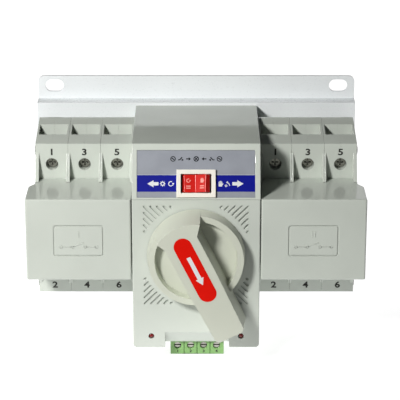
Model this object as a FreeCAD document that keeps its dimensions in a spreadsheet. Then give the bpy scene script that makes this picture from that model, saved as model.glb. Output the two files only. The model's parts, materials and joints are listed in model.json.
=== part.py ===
import FreeCAD, Part
import math
import os
import re

import Sketcher

# Three-pole transfer switch: two three-pole breakers on DIN rail, a drive unit
# between them with a dial handle, and one formed steel base plate.
#
# Frame, in millimetres: +X to the right, +Z up, the front faces -Y.
# Y = 0 is the back of the plate's flanges, Z = 0 the middle of its slot pattern.
# "Depth" in this file is the distance in front of Y = 0, so Y is minus depth.

Vector = FreeCAD.Vector
Placement = FreeCAD.Placement
Rotation = FreeCAD.Rotation

AXIS_X = Vector(1, 0, 0)
AXIS_Y = Vector(0, 1, 0)

CELLS = [
    # how far a cutter runs past a face or one piece into the next, and a sliver of that
    ("over", 1.0), ("bite", 0.1),
    # base plate
    ("plate_width", 182.0), ("plate_height", 130.0), ("sheet", 1.5), ("plate_step", 9.5),
    ("channel_half", 51.7), ("plate_corner", 3.5), ("fixing_slot_length", 10.5),
    ("fixing_slot_width", 7.0), ("fixing_span_x", 163.2), ("fixing_span_z", 118.6),
    # DIN rail, 35 mm top hat
    ("rail_half", 17.5), ("rail_web_half", 12.5), ("rail_rise", 7.5), ("rail_sheet", 1.0),
    ("rail_length", 52.6), ("rail_screw_span", 36.0), ("screw_play", 2.0), ("cross_reach", 0.62),
    # breakers
    ("breaker_x", 61.5), ("breaker_z", -1.0), ("pole_pitch", 17.95), ("pole_gap", 0.1),
    ("case_back", 13.2), ("case_shoulder", 27.4), ("case_ridge", 30.0), ("case_front", 61.0),
    ("nose_front", 78.5), ("back_half", 39.0), ("ridge_half", 49.0), ("face_half", 43.6),
    ("nose_half", 20.6), ("case_wall", 1.6), ("nose_wall", 1.8), ("chamber_back", 20.5),
    ("chamber_half", 24.0), ("hook_tip", 15.8), ("hook_root", 18.0),
    ("cage_low", 26.5), ("cage_high", 36.0), ("cage_back", 37.0), ("cage_front", 53.0),
    ("cage_half", 6.0), ("neck_back", 38.8), ("neck_front", 41.8), ("entry_back", 37.6),
    ("entry_front", 49.8), ("entry_half", 7.75), ("screw_height", 31.9),
    ("screw_hole_radius", 3.4), ("fin", 0.95), ("fin_reach", 6.8), ("fin_top", 38.3),
    ("fin_low", 23.65), ("lever_slot_half", 3.0), ("lever_slot_reach", 10.0),
    ("rivet_radius", 1.5), ("rivet_head_radius", 2.4), ("rivet_head", 0.5),
    ("rivet_back", 27.0), ("rivet_back_height", 38.0), ("rivet_front", 57.0),
    ("rivet_front_height", 38.8), ("clip_half", 4.0), ("clip_back", 13.4),
    ("clip_front", 16.2), ("clip_low", 50.3), ("clip_play", 0.2), ("bay_gap", 0.2),
    ("bay_lip", 1.2), ("chamber_skin", 2.0),
    # breaker insides
    ("clamp_half", 5.5), ("clamp_back", 37.5), ("clamp_front", 52.5), ("clamp_low", 27.0),
    ("clamp_high", 35.5), ("clamp_window_half", 4.0), ("clamp_window_back", 39.5),
    ("clamp_window_front", 50.0), ("clamp_screw_radius", 2.0), ("clamp_head_radius", 3.05),
    ("clamp_head_back", 54.0), ("clamp_head_front", 57.0), ("clamp_screw_end", 46.5),
    ("cross_width", 0.8), ("cross_depth", 1.1), ("strip_back", 39.6), ("strip_front", 41.0),
    ("strip_half", 3.0), ("toggle_depth", 71.0), ("toggle_hub_radius", 5.5),
    ("toggle_hub_half", 6.9), ("toggle_pin_radius", 1.5), ("toggle_pin_half", 7.9),
    ("running_gap", 0.05), ("toggle_reach", 21.0), ("toggle_half", 2.6), ("toggle_tilt", 37.5),
    ("lever_root", 3.0), ("lever_root_half", 2.3), ("lever_taper", 1.5), ("lever_end_half", 1.7),
    ("lever_tip_half", 0.8),
    ("tie_radius", 13.88), ("tie_rod_radius", 1.5), ("tie_inner_x", 25.2), ("tie_outer_x", 82.5),
    ("arm_depth", 56.0), ("arm_height", 2.0), ("arm_length", 17.0), ("arm_half", 2.5),
    ("arm_thick", 2.5), ("arm_hub_radius", 3.0), ("contact_radius", 2.0), ("contact_rise", 1.2),
    ("contact_reach", 15.5), ("contact_gap", 0.1), ("arm_swing", 20.0), ("arm_pin_half", 7.0),
    ("rest_reach", 4.5), ("rest_sheet", 1.4), ("strip_end", 8.2), ("cheek_lip", 0.5),
    ("chute_back", 22.0), ("chute_front", 33.0), ("chute_low", -22.0), ("chute_high", -9.5),
    ("chute_half", 5.5), ("chute_sheet", 0.8), ("chute_pitch", 2.8), ("coil_radius", 4.6),
    ("coil_back", 30.0), ("coil_front", 46.0), ("coil_height", 12.0), ("core_radius", 1.6),
    ("core_overhang", 3.0),
    # covers over the breaker noses
    ("front_depth", 97.0), ("cover_inner_x", 35.0), ("cover_outer_x", 91.8),
    ("case_outer_x", 88.45), ("cover_top", 22.5), ("cover_bottom", -23.6), ("cover_wall", 1.8),
    ("cover_back", 61.2), ("cover_side_back", 75.9), ("cover_chamfer_back", 70.5),
    ("cover_inner_side_back", 78.7), ("frame_x", 63.3), ("frame_width", 27.2),
    ("frame_height", 17.8), ("frame_radius", 1.6), ("frame_line", 0.8), ("frame_deep", 0.4),
    ("edge_round", 1.0), ("cover_step", 0.5), ("case_clear", 0.05), ("chamfer_shift", 3.4),
    # drive unit housing
    ("unit_half", 34.5), ("unit_wall", 2.0), ("roof_z", 50.0), ("seam_z", 22.5),
    ("seam_gap", 0.15), ("unit_bottom", -63.3), ("label_slope", 24.6), ("panel_back", 91.0),
    ("window_back", 79.4), ("window_front", 87.7), ("window_reach", 11.0),
    ("boss_x", 30.0), ("boss_radius", 3.2), ("boss_end", 30.0), ("housing_boss_low", -35.0),
    ("housing_boss_high", 16.0), ("hood_boss_z", 44.0), ("screw_three", 1.5),
    ("screw_three_head", 2.8), ("screw_head_height", 2.0), ("screw_three_end", 26.0),
    ("block_clear", 0.6), ("notch_gap", 0.2),
    # dial panel
    ("dial_z", -9.3), ("hub_hole_radius", 7.3), ("led_x", 24.5), ("led_z", -56.5),
    ("led_radius", 1.5), ("led_hole_radius", 1.55), ("panel_corner", 2.0),
    ("notch_left", -17.0), ("notch_right", 18.0), ("notch_top", -54.3), ("notch_back", 88.5),
    ("notch_wall", 1.8), ("hatch_field", 28.3), ("hatch_circle", 29.9), ("hatch_pitch", 2.5),
    ("hatch_width", 1.1), ("hatch_deep", 0.8), ("tab_half", 3.0), ("tab_sheet", 1.5), ("tab_end", 86.0),
    ("tab_high", 22.0), ("tab_low", 30.0), ("rim_round", 0.6), ("ramp_sink", 0.5),
    ("ramp_back", 2.3), ("ramp_thick", 1.3),
    # label, rocker switch
    ("label_half", 31.6), ("label_top", 3.6), ("label_bottom", 29.0), ("label_recess", 0.8),
    ("label_sheet", 0.4), ("label_play", 0.1), ("rocker_centre", 21.6), ("bezel_half", 10.5),
    ("bezel_half_height", 7.5), ("bezel_rise", 1.2), ("switch_half", 9.6),
    ("switch_half_height", 6.6), ("switch_deep", 13.0), ("rocker_half", 7.6),
    ("rocker_half_height", 4.8), ("rocker_opening", 8.2), ("rocker_opening_height", 5.1),
    ("rocker_cavity", 9.0), ("rocker_tilt", 12.0), ("rocker_pivot", 0.6), ("rocker_belly_half", 6.0),
    ("rocker_belly", 3.9), ("rocker_shoulder", 0.3), ("rocker_crown", 5.9), ("rocker_rise", 2.8),
    ("rocker_dip", 1.5), ("rocker_pin_radius", 0.9), ("rocker_pin_end", 6.0), ("blade_half", 2.4),
    ("blade_sheet", 0.8), ("blade_length", 6.0), ("blade_pitch", 6.0),
    # dial handle
    ("handle_angle", 25.0), ("pointer_lean", 1.4), ("arm_shift", -1.0), ("handle_back", 97.4),
    ("ring_radius", 26.6), ("ring_draft", 1.0),
    ("ring_front", 105.5), ("pocket_radius", 22.4), ("pocket_floor", 100.0),
    ("arm_front", 116.0), ("arm_tip", 44.2), ("arm_tip_half", 8.3), ("grip_half", 9.3),
    ("arm_corner", 2.5), ("arm_draft", 4.0), ("fan_radius", 24.4), ("fan_base_radius", 26.5),
    ("fan_start", 15.6), ("fan_half", 13.2), ("fan_corner", 21.6), ("hub_radius", 7.0),
    ("hub_back", 93.05), ("shaft_radius", 4.0), ("grip_start", 8.0), ("arm_root", 1.6),
    ("pocket_draft", 0.6), ("wedge_start", 3.0),
    ("shaft_front", 110.0), ("shaft_back", 61.5), ("label_half_length", 19.5),
    ("label_radius", 4.85), ("label_shift", -1.0), ("label_proud", 0.1), ("label_deep", 0.25),
    ("grip_cavity_wall", 2.3), ("grip_cavity_inner", 28.0),
    ("handle_screw_head", 3.6), ("handle_screw_radius", 2.0), ("handle_screw_head_back", 112.8),
    ("handle_screw_end", 100.0),
    # mechanism
    ("disc_front", 93.0), ("disc_back", 90.1), ("disc_radius", 24.0), ("crank_radius", 20.0),
    ("crank_pin_radius", 2.0), ("crank_pin_end", 85.0), ("slider_front", 89.5),
    ("slider_back", 86.5), ("slider_inner_x", 14.0), ("slider_outer_x", 30.6),
    ("slider_low", -41.8), ("slider_high", 21.8), ("yoke_inner_x", 15.8), ("yoke_outer_x", 22.4),
    ("yoke_half", 2.2), ("travel_half", 8.452), ("fork_inner_x", 24.5), ("fork_back", 79.5),
    ("fork_half", 4.85), ("fork_gap_half", 1.85), ("fork_gap_front", 86.6),
    ("post_x", 18.0), ("post_high_z", 8.0), ("post_low_z", -28.0), ("post_radius", 2.0),
    ("post_sleeve_radius", 3.2), ("post_front", 89.8), ("post_sleeve_front", 86.4),
    ("plate_front_depth", 66.5), ("plate_back_depth", 65.0), ("mech_half", 31.0),
    ("mech_low", -52.0), ("mech_high", 44.0), ("standoff_x", 28.0), ("standoff_low", -46.0),
    ("standoff_high", 34.0), ("standoff_radius", 3.0), ("standoff_hole", 3.3),
    ("bush_radius", 6.0), ("bush_flange_radius", 8.0), ("bush_flange_front", 67.9),
    ("bush_back", 63.0), ("circlip_radius", 6.0), ("circlip_sheet", 0.8),
    ("gear_module", 1.0), ("gear_teeth", 40.0), ("pinion_teeth", 12.0), ("gear_front", 72.0),
    ("gear_back", 68.0), ("pinion_front", 72.5), ("pinion_back", 67.5), ("backlash", 0.2),
    ("motor_radius", 12.0), ("motor_back", 38.0), ("motor_boss_radius", 3.5),
    ("motor_shaft_radius", 1.0), ("motor_shaft_back", 58.0), ("spindle_proud", 0.5),
    ("cap_step", 2.0), ("cap_deep", 2.5), ("pressure_angle", 20.0), ("addendum", 0.8),
    ("dedendum", 1.15), ("guide_gap", 0.3), ("standoff_thread", 10.0), ("screw_reach", 8.0),
    # electronics
    ("board_half", 31.0), ("board_top", -57.0), ("board_sheet", 1.6), ("board_back", 14.0),
    ("board_front", 88.0), ("relay_inner_x", 3.0), ("relay_outer_x", 22.5),
    ("relay_back", 46.0), ("relay_front", 62.0), ("relay_top", -41.5),
    ("core_half", 15.0), ("core_back", 16.0), ("core_front", 42.0), ("core_top", -33.0),
    ("core_window", 5.0), ("bobbin_proud", 3.0), ("bobbin_back_proud", 1.5),
    ("micro_x", 25.5), ("micro_half", 6.0),
    ("micro_back", 82.0), ("micro_front", 88.0), ("micro_top", -51.0), ("plunger_radius", 0.9),
    ("plunger_top", -50.4), ("plunger_depth", 87.4), ("led_foot", 3.0), ("led_flange", 0.4),
    ("lead_radius", 0.3), ("lead_half", 0.8), ("block_x", 0.5), ("block_pitch", 7.2), ("block_edge", 0.4),
    ("block_front", 86.0), ("block_back", 74.0), ("block_bottom", -72.3), ("block_top", -58.6),
    ("block_step", 1.6), ("block_screw_z", -66.8), ("block_screw_radius", 1.8),
    ("block_hole_radius", 2.0), ("block_hole_back", 82.6), ("block_entry_half", 2.5),
    ("block_entry_back", 75.4), ("block_entry_front", 80.6), ("block_entry_top", -63.5),
    ("groove_half", 0.2), ("groove_deep", 0.6), ("block_head", 2.2), ("block_slot_base", 1.3),
    ("block_slot_half", 0.3),
]

PLATE_FACE = "(plate_step + sheet)"
PINION_Z = "(dial_z + gear_module * (gear_teeth + pinion_teeth) / 2)"
POLES = (-1, 0, 1)
SIDES = (("left", -1), ("right", 1))
SPLITTERS = 5
CONTROL_WAYS = 4
GROOVES_EACH_SIDE = 4
FLANK_STEPS = 5

doc = FreeCAD.newDocument("TransferSwitch")
sheet = doc.addObject("Spreadsheet::Sheet", "Sizes")
for row, (alias, size) in enumerate(CELLS, start=1):
    sheet.set("A%d" % row, alias)
    sheet.set("B%d" % row, "%g" % size)
    sheet.setAlias("B%d" % row, alias)
doc.recompute()

ALIASES = {alias for alias, _ in CELLS}
NODES = []


# ---------------------------------------------------------------- sheet and binding

def cell(text):
    """The same arithmetic with every alias spelled as a cell of the sheet."""
    def swap(found):
        word = found.group()
        return "Sizes." + word if word in ALIASES else word
    return re.sub(r"[a-z][a-z_]*", swap, str(text))


def value(text):
    """What an expression is worth with the sheet as it stands."""
    return float(sheet.evalExpression(cell(text)))


def bind(item, path, text):
    item.setExpression(path, cell(text))


def place(item, x="0", depth="0", z="0", axis=None, angle=None):
    """Put an object at a point, turned about an axis by an angle in degrees."""
    if axis is not None:
        item.Placement = Placement(Vector(0, 0, 0), Rotation(axis, 1))
        bind(item, "Placement.Rotation.Angle", angle)
    bind(item, "Placement.Base.x", x)
    bind(item, "Placement.Base.y", "-(%s)" % depth)
    bind(item, "Placement.Base.z", z)
    return item


def about(middle, half):
    """The two ends of a span that reaches half each way from its middle."""
    return "%s - (%s)" % (middle, half), "%s + (%s)" % (middle, half)


def ordered(first, second):
    """Two ends of a span, the lower one first."""
    return (first, second) if value(first) < value(second) else (second, first)


def node(item, name):
    """Name a finished sub-part and list it for the hand-over."""
    item.Label = name
    NODES.append(item)
    return item


# ---------------------------------------------------------------- solids

def block(x, depth, z):
    """A box between two X, two depth and two Z values."""
    item = doc.addObject("Part::Box", "Block")
    bind(item, "Length", "(%s) - (%s)" % (x[1], x[0]))
    bind(item, "Width", "(%s) - (%s)" % (depth[1], depth[0]))
    bind(item, "Height", "(%s) - (%s)" % (z[1], z[0]))
    return place(item, x[0], depth[1], z[0])


def rod(along, radius, span, centre):
    """A cylinder along x, depth or z; centre gives the other two values in X, depth, Z order."""
    item = doc.addObject("Part::Cylinder", "Rod")
    bind(item, "Radius", radius)
    bind(item, "Height", "(%s) - (%s)" % (span[1], span[0]))
    if along == "x":
        return place(item, span[0], centre[0], centre[1], AXIS_Y, "90")
    if along == "z":
        return place(item, centre[0], centre[1], span[0])
    return place(item, centre[0], span[0], centre[1], AXIS_X, "90")


def cone(radii, span, centre):
    """A cone frustum along depth, from its first radius to its second."""
    item = doc.addObject("Part::Cone", "Cone")
    bind(item, "Radius1", radii[0])
    bind(item, "Radius2", radii[1])
    bind(item, "Height", "(%s) - (%s)" % (span[1], span[0]))
    return place(item, centre[0], span[0], centre[1], AXIS_X, "90")


def fuse(parts):
    item = doc.addObject("Part::MultiFuse", "Fuse")
    item.Shapes = parts
    return item


def group(parts):
    """Separate solids that share one node."""
    item = doc.addObject("Part::Compound", "Group")
    item.Links = parts
    return item


def cut(base, tools):
    item = doc.addObject("Part::Cut", "Cut")
    item.Base = base
    item.Tool = tools[0] if len(tools) == 1 else group(tools)
    return item


def common(first, second):
    item = doc.addObject("Part::Common", "Common")
    item.Base = first
    item.Tool = second
    return item


def rounded_box(x, depth, z, radius):
    """A box whose four edges along depth are rounded."""
    base = block(x, depth, z)
    doc.recompute()
    item = doc.addObject("Part::Fillet", "Rounded")
    item.Base = base
    size = value(radius)
    item.Edges = [(number, size, size) for number, edge in enumerate(base.Shape.Edges, start=1)
                  if abs(edge.tangentAt(edge.FirstParameter).y) > 0.99]
    return item


def stadium(length_half, radius, depth, z):
    """A round-ended bar along Z, centred on X = 0."""
    ends = ["(%s) %s ((%s) - (%s))" % (z, sign, length_half, radius) for sign in ("-", "+")]
    middle = block(("-(%s)" % radius, radius), depth, ends)
    return fuse([middle] + [rod("depth", radius, depth, ("0", end)) for end in ends])


# ---------------------------------------------------------------- PartDesign bodies

VIEWS = {
    "front": ("XZ_Plane", lambda x, z: (x, z)),
    "side": ("YZ_Plane", lambda depth, z: ("-(%s)" % depth, z)),
    "plan": ("XY_Plane", lambda x, depth: (x, "-(%s)" % depth)),
}


def new_body():
    return doc.addObject("PartDesign::Body", "Body")


def draw_polygon(drawing, corners):
    """A closed outline whose corners are bound to the sheet."""
    points = [Vector(value(a), value(b), 0) for a, b in corners]
    first = drawing.GeometryCount
    count = len(points)
    for number in range(count):
        line = Part.LineSegment(points[number], points[(number + 1) % count])
        drawing.addGeometry(line, False)
    for number in range(count):
        after = first + (number + 1) % count
        drawing.addConstraint(Sketcher.Constraint("Coincident", first + number, 2, after, 1))
    for number, (a, b) in enumerate(corners):
        for kind, text, size in (("DistanceX", a, points[number].x),
                                 ("DistanceY", b, points[number].y)):
            rule = Sketcher.Constraint(kind, -1, 1, first + number, 1, size)
            bind(drawing, "Constraints[%d]" % drawing.addConstraint(rule), text)


def draw_circle(drawing, centre, radius):
    """A circle whose centre and radius are bound to the sheet."""
    a, b = centre
    middle = Vector(value(a), value(b), 0)
    ring = drawing.addGeometry(Part.Circle(middle, Vector(0, 0, 1), value(radius)), False)
    rules = (("DistanceX", (-1, 1, ring, 3, middle.x), a),
             ("DistanceY", (-1, 1, ring, 3, middle.y), b),
             ("Radius", (ring, value(radius)), radius))
    for kind, target, text in rules:
        rule = Sketcher.Constraint(kind, *target)
        bind(drawing, "Constraints[%d]" % drawing.addConstraint(rule), text)


def sketch(body, view, outlines, level):
    """A sketch on one of the body's own planes, holding closed outlines."""
    role, convert = VIEWS[view]
    plane = next(item for item in body.Origin.OriginFeatures if item.Role == role)
    drawing = body.newObject("Sketcher::SketchObject", "Sketch")
    drawing.AttachmentSupport = [(plane, "")]
    drawing.MapMode = "FlatFace"
    bind(drawing, "AttachmentOffset.Base.z", level)
    for outline in outlines:
        if outline[0] == "circle":
            draw_circle(drawing, convert(*outline[1]), outline[2])
        else:
            draw_polygon(drawing, [convert(a, b) for a, b in outline])
    return drawing


def pad(body, view, outlines, span):
    """Add outlines, from the first level of span to the second."""
    drawing = sketch(body, view, outlines, span[0])
    feature = body.newObject("PartDesign::Pad", "Pad")
    feature.Profile = drawing
    bind(feature, "Length", "(%s) - (%s)" % (span[1], span[0]))
    body.Tip = feature
    return feature


def pocket(body, view, outlines, span):
    """Cut outlines away, from the second level of span down to the first."""
    drawing = sketch(body, view, outlines, span[1])
    feature = body.newObject("PartDesign::Pocket", "Pocket")
    feature.Profile = drawing
    bind(feature, "Length", "(%s) - (%s)" % (span[1], span[0]))
    body.Tip = feature
    return feature


def round_edges(body, radius, chosen):
    """Fillet the body's edges that the chosen test accepts."""
    doc.recompute()
    base = body.Tip
    names = ["Edge%d" % number for number, edge in enumerate(base.Shape.Edges, start=1)
             if chosen(edge)]
    feature = body.newObject("PartDesign::Fillet", "Fillet")
    feature.Base = (base, names)
    bind(feature, "Radius", radius)
    body.Tip = feature
    return feature


def rectangle(a, b):
    return [(a[0], b[0]), (a[1], b[0]), (a[1], b[1]), (a[0], b[1])]


def circle(centre, radius):
    return ("circle", centre, radius)


def prism(view, outlines, span):
    body = new_body()
    pad(body, view, outlines, span)
    return body


# ---------------------------------------------------------------- base plate and rails

def stud_places():
    """Holes of the raised face: rail screws, standoffs, and the housing's bosses."""
    rails = [("%d * breaker_x + %d * rail_screw_span / 2" % (sign, step), "breaker_z")
             for _, sign in SIDES for step in (-1, 1)]
    standoffs = [("%d * standoff_x" % sign, height) for _, sign in SIDES
                 for height in ("standoff_low", "standoff_high")]
    bosses = [("%d * boss_x" % sign, height) for _, sign in SIDES
              for height in ("housing_boss_low", "housing_boss_high", "hood_boss_z")]
    return rails, standoffs, bosses


def base_plate():
    """Hat section: two flanges on the panel, a raised middle, four fixing slots."""
    low, high = "-plate_height / 2", "plate_height / 2"
    near, far = "channel_half - sheet", "channel_half"
    outline = [("0", high), ("sheet", high), ("sheet", far), (PLATE_FACE, far),
               (PLATE_FACE, "-(%s)" % far), ("sheet", "-(%s)" % far), ("sheet", low), ("0", low),
               ("0", "-(%s)" % near), ("plate_step", "-(%s)" % near), ("plate_step", near),
               ("0", near)]
    body = prism("side", [outline], ("-plate_width / 2", "plate_width / 2"))
    reach = "fixing_slot_length / 2 - fixing_slot_width / 2"
    middles = [("%d * fixing_span_x / 2" % a, "%d * fixing_span_z / 2" % b)
               for a in (-1, 1) for b in (-1, 1)]
    bars = [rectangle(about(x, reach), about(z, "fixing_slot_width / 2")) for x, z in middles]
    pocket(body, "front", bars, ("-over", "sheet + over"))
    for sign in "-+":
        ends = [circle(("%s %s (%s)" % (x, sign, reach), z), "fixing_slot_width / 2")
                for x, z in middles]
        pocket(body, "front", ends, ("-over", "sheet + over"))
    rails, standoffs, bosses = stud_places()
    holes = [circle(spot, "clamp_screw_radius") for spot in rails]
    holes += [circle(spot, "screw_three") for spot in standoffs + bosses]
    pocket(body, "front", holes, ("plate_step - sheet", PLATE_FACE + " + sheet"))
    corner_x = value("plate_width / 2")
    corner_z = value("plate_height / 2")

    def corner(edge):
        middle = edge.CenterOfMass
        return abs(abs(middle.x) - corner_x) < 0.01 and abs(abs(middle.z) - corner_z) < 0.01
    round_edges(body, "plate_corner", lambda edge: corner(edge) and edge.Length < 2)
    node(body, "base_plate")


def din_rails():
    """Two lengths of 35 mm top-hat rail, one under each breaker."""
    rails = []
    for _, sign in SIDES:
        web, top = PLATE_FACE, "(%s + rail_rise)" % PLATE_FACE
        right = [("rail_half", top), ("rail_half", "%s - rail_sheet" % top),
                 ("rail_web_half", "%s - rail_sheet" % top), ("rail_web_half", web)]
        left = [("rail_web_half - rail_sheet", "%s + rail_sheet" % web),
                ("rail_web_half - rail_sheet", top)]
        half = [(depth, "breaker_z + %s" % z) for z, depth in left + right]
        other = [(depth, "breaker_z - (%s)" % z) for z, depth in reversed(left + right)]
        middle = "%d * breaker_x" % sign
        body = prism("side", [half + other], about(middle, "rail_length / 2"))
        holes = [circle(("%s + %d * rail_screw_span / 2" % (middle, step), "breaker_z"),
                        "clamp_screw_radius") for step in (-1, 1)]
        pocket(body, "front", holes, ("%s - over" % web, "%s + rail_sheet + over" % web))
        rails.append(body)
    node(group(rails), "din_rails")


def pan_screw(spot, head_radius, shank_radius, head, end):
    """Screw along depth: the head between two depths, the shank to its end."""
    at_back = value(end) > value(head[1])
    shank = (head[1], end) if at_back else (end, head[0])
    solid = fuse([rod("depth", head_radius, head, spot), rod("depth", shank_radius, shank, spot)])
    across = "(%s) * cross_reach" % head_radius
    x, z = spot
    reach = ("%s - cross_depth" % head[0], "%s + cross_depth" % head[0])
    if not at_back:
        reach = ("%s - cross_depth" % head[1], "%s + cross_depth" % head[1])
    bars = [block(about(x, a), reach, about(z, b))
            for a, b in ((across, "cross_width / 2"), ("cross_width / 2", across))]
    return cut(solid, bars)


def plate_screws():
    """Screws through the raised face: rails from the front, drive unit from the back."""
    rails, standoffs, bosses = stud_places()
    web = PLATE_FACE + " + rail_sheet"
    screws = [pan_screw(spot, "screw_three_head", "clamp_screw_radius",
                        (web, "%s + screw_head_height" % web), "plate_step - sheet") for spot in rails]
    screws += [pan_screw(spot, "screw_three_head", "screw_three",
                         ("plate_step - screw_head_height", "plate_step"), "screw_three_end - screw_play")
               for spot in standoffs + bosses]
    node(group(screws), "plate_screws")


# ---------------------------------------------------------------- breakers

def up(text):
    """A height measured from the breaker's middle."""
    return "breaker_z + (%s)" % text


def both(outline):
    """An outline given above the breaker's middle, and its mirror image below."""
    return [[(depth, up(z)) for depth, z in outline], [(depth, up("-(%s)" % z)) for depth, z in outline]]


def case_outline():
    """Side profile of one pole, with the fixed rail hook above and the clip's bay below."""
    upper = [("case_back", "hook_tip"), ("case_back", "back_half"), ("case_shoulder", "ridge_half"),
             ("case_ridge", "ridge_half"), ("case_front", "face_half"), ("case_front", "nose_half"),
             ("nose_front", "nose_half")]
    lower = [(depth, "-(%s)" % z) for depth, z in reversed(upper[1:])]
    rail_top = "(%s + rail_rise)" % PLATE_FACE
    floor, lip = "%s + bay_gap" % rail_top, "%s - bay_lip" % rail_top
    bay = [("case_back", "-(hook_root + sheet)"), (floor, "-(hook_root + sheet)"),
           (floor, "hook_root - bay_gap"), (lip, "hook_root - bay_gap"), (lip, "hook_tip")]
    return [(depth, up(z)) for depth, z in upper + lower + bay]


def chamber_outline():
    step, narrow = "case_front - chamber_skin", "nose_half - chamber_skin"
    half = [("chamber_back", "chamber_half"), (step, "chamber_half"), (step, narrow),
            ("nose_front - nose_wall", narrow)]
    mirrored = [(depth, "-(%s)" % z) for depth, z in reversed(half)]
    return [(depth, up(z)) for depth, z in half + mirrored]


def case_shell(middle, facing, fin):
    """One half of a pole's case; facing is the side of the pole's middle plane it fills."""
    half = "((pole_pitch - pole_gap) / 2)"

    def out(reach, inner="0"):
        return ordered("%s + %d * (%s)" % (middle, facing, inner), "%s + %d * (%s)" % (middle, facing, reach))
    body = prism("side", [case_outline()], out(half))
    cage = [("cage_back", "cage_low"), ("neck_back", "cage_low"), ("neck_back", "chamber_half - bite"),
            ("neck_front", "chamber_half - bite"), ("neck_front", "cage_low"), ("cage_front", "cage_low"),
            ("cage_front", "cage_high"), ("cage_back", "cage_high")]
    entry = rectangle(("entry_back", "entry_front"), ("cage_high - bite", "ridge_half + over"))
    edge = [("case_front - over", "fin_low"), ("case_front + fin_reach", "fin_low"),
            ("case_front", "fin_top"), ("case_front - over", "fin_top")]
    pad(body, "side", both(edge), out(half, "%s - %s" % (half, fin)))
    pocket(body, "side", [chamber_outline()], out("%s - case_wall" % half))
    pocket(body, "side", both(cage), out("cage_half"))
    pocket(body, "side", both(entry), out("entry_half"))
    bay = rectangle(("case_back - over", "clip_front + clip_play"),
                    (up("-(ridge_half + over)"), up("-hook_root")))
    pocket(body, "side", [bay], out("clip_half + clip_play"))
    pocket(body, "side", [circle(("toggle_depth", "breaker_z"), "toggle_pin_radius + running_gap")],
           out("toggle_pin_half + running_gap"))
    rivets = [circle((depth, up(z)), "rivet_radius") for depth, z in rivet_places()]
    pocket(body, "side", rivets, out("%s + over" % half, "-over"))
    holes = [circle((middle, up(z)), "screw_hole_radius") for z in ("screw_height", "-screw_height")]
    pocket(body, "front", holes, ("cage_front - bite", "case_front + fin_reach"))
    slot = rectangle(about(middle, "lever_slot_half"), (up("-lever_slot_reach"), up("lever_slot_reach")))
    pocket(body, "front", [slot], ("nose_front - nose_wall - over", "nose_front + over"))
    return body


def rivet_places():
    return [(depth, "%d * %s" % (sign, height)) for sign in (-1, 1)
            for depth, height in (("rivet_back", "rivet_back_height"), ("rivet_front", "rivet_front_height"))]


def clamp_screw(middle, height):
    return pan_screw((middle, up(height)), "clamp_head_radius", "clamp_screw_radius",
                     ("clamp_head_back", "clamp_head_front"), "clamp_screw_end")


def clamp_cage(middle, sign):
    """Rising-cage clamp: a frame that the wire enters, threaded for its screw."""
    x = about(middle, "clamp_half")
    inner = about(middle, "clamp_window_half")
    z = ordered(up("%d * clamp_low" % sign), up("%d * clamp_high" % sign))
    outside = block(x, ("clamp_back", "clamp_front"), z)
    through = ("%s - over" % z[0], "%s + over" % z[1])
    window = block(inner, ("clamp_window_back", "clamp_window_front"), through)
    hole = rod("depth", "clamp_screw_radius + running_gap",
               ("clamp_window_front - over", "clamp_front + over"),
               (middle, up("%d * screw_height" % sign)))
    return cut(outside, [window, hole])


def toggle(middle):
    """Hub, lever and pivot pins of one pole, drawn about its pivot and pointing forward."""
    hub = rod("x", "toggle_hub_radius", about(middle, "toggle_hub_half"), ("0", "0"))
    pins = rod("x", "toggle_pin_radius", about(middle, "toggle_pin_half"), ("0", "0"))
    edge = [("lever_root", "lever_root_half"), ("toggle_reach - lever_taper", "lever_end_half"),
            ("toggle_reach", "lever_tip_half")]
    outline = [(depth, "-%s" % z) for depth, z in edge] + edge[::-1]
    lever = prism("side", [outline], about(middle, "toggle_half"))
    hole = rod("x", "tie_rod_radius", about(middle, "toggle_half + over"), ("tie_radius", "0"))
    return cut(fuse([hub, pins, lever]), [hole])


def contact_arm(middle):
    """Moving contact, drawn about its pivot and pointing at the panel."""
    x = about(middle, "arm_half")
    bar = block(x, ("-arm_length", "0"), ("-arm_thick / 2", "arm_thick / 2"))
    hub = rod("x", "arm_hub_radius", x, ("0", "0"))
    pin = rod("x", "contact_rise", about(middle, "arm_pin_half"), ("0", "0"))
    tip = rod("z", "contact_radius", ("-arm_thick / 2 - contact_rise", "0"), (middle, "-contact_reach"))
    return fuse([bar, hub, pin, tip])


def fixed_contact(middle):
    """Contact rest under the closed arm, and the strip down to the lower clamp."""
    under = "(-arm_thick / 2 - contact_rise - contact_gap)"
    x = about(middle, "strip_half")
    button = rod("z", "contact_radius", ("%s - contact_rise" % under, under), (middle, "-contact_reach"))
    rest = block(x, about("-contact_reach", "rest_reach"),
                 ("%s - contact_rise - rest_sheet" % under, "%s - contact_rise + bite" % under))
    head = fuse([button, rest])
    place(head, "0", "arm_depth", up("arm_height"), AXIS_X, "-arm_swing")
    strip = block(x, ("strip_back", "strip_front"), (up("-clamp_high"), up("-strip_end")))
    return fuse([head, strip])


def arc_chute(middle):
    """Splitter plates between two fibre cheeks."""
    depth = ("chute_back", "chute_front")
    inside = about(middle, "chute_half")
    plates = [block(inside, depth, (up("chute_low + %d * chute_pitch" % step),
                                    up("chute_low + %d * chute_pitch + chute_sheet" % step)))
              for step in range(SPLITTERS)]
    height = (up("chute_low - cheek_lip"), up("chute_high"))
    cheeks = [block(ordered("%s %s chute_half" % (middle, sign),
                            "%s %s (chute_half + chute_sheet)" % (middle, sign)), depth, height)
              for sign in "-+"]
    return fuse(plates + cheeks)


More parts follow.
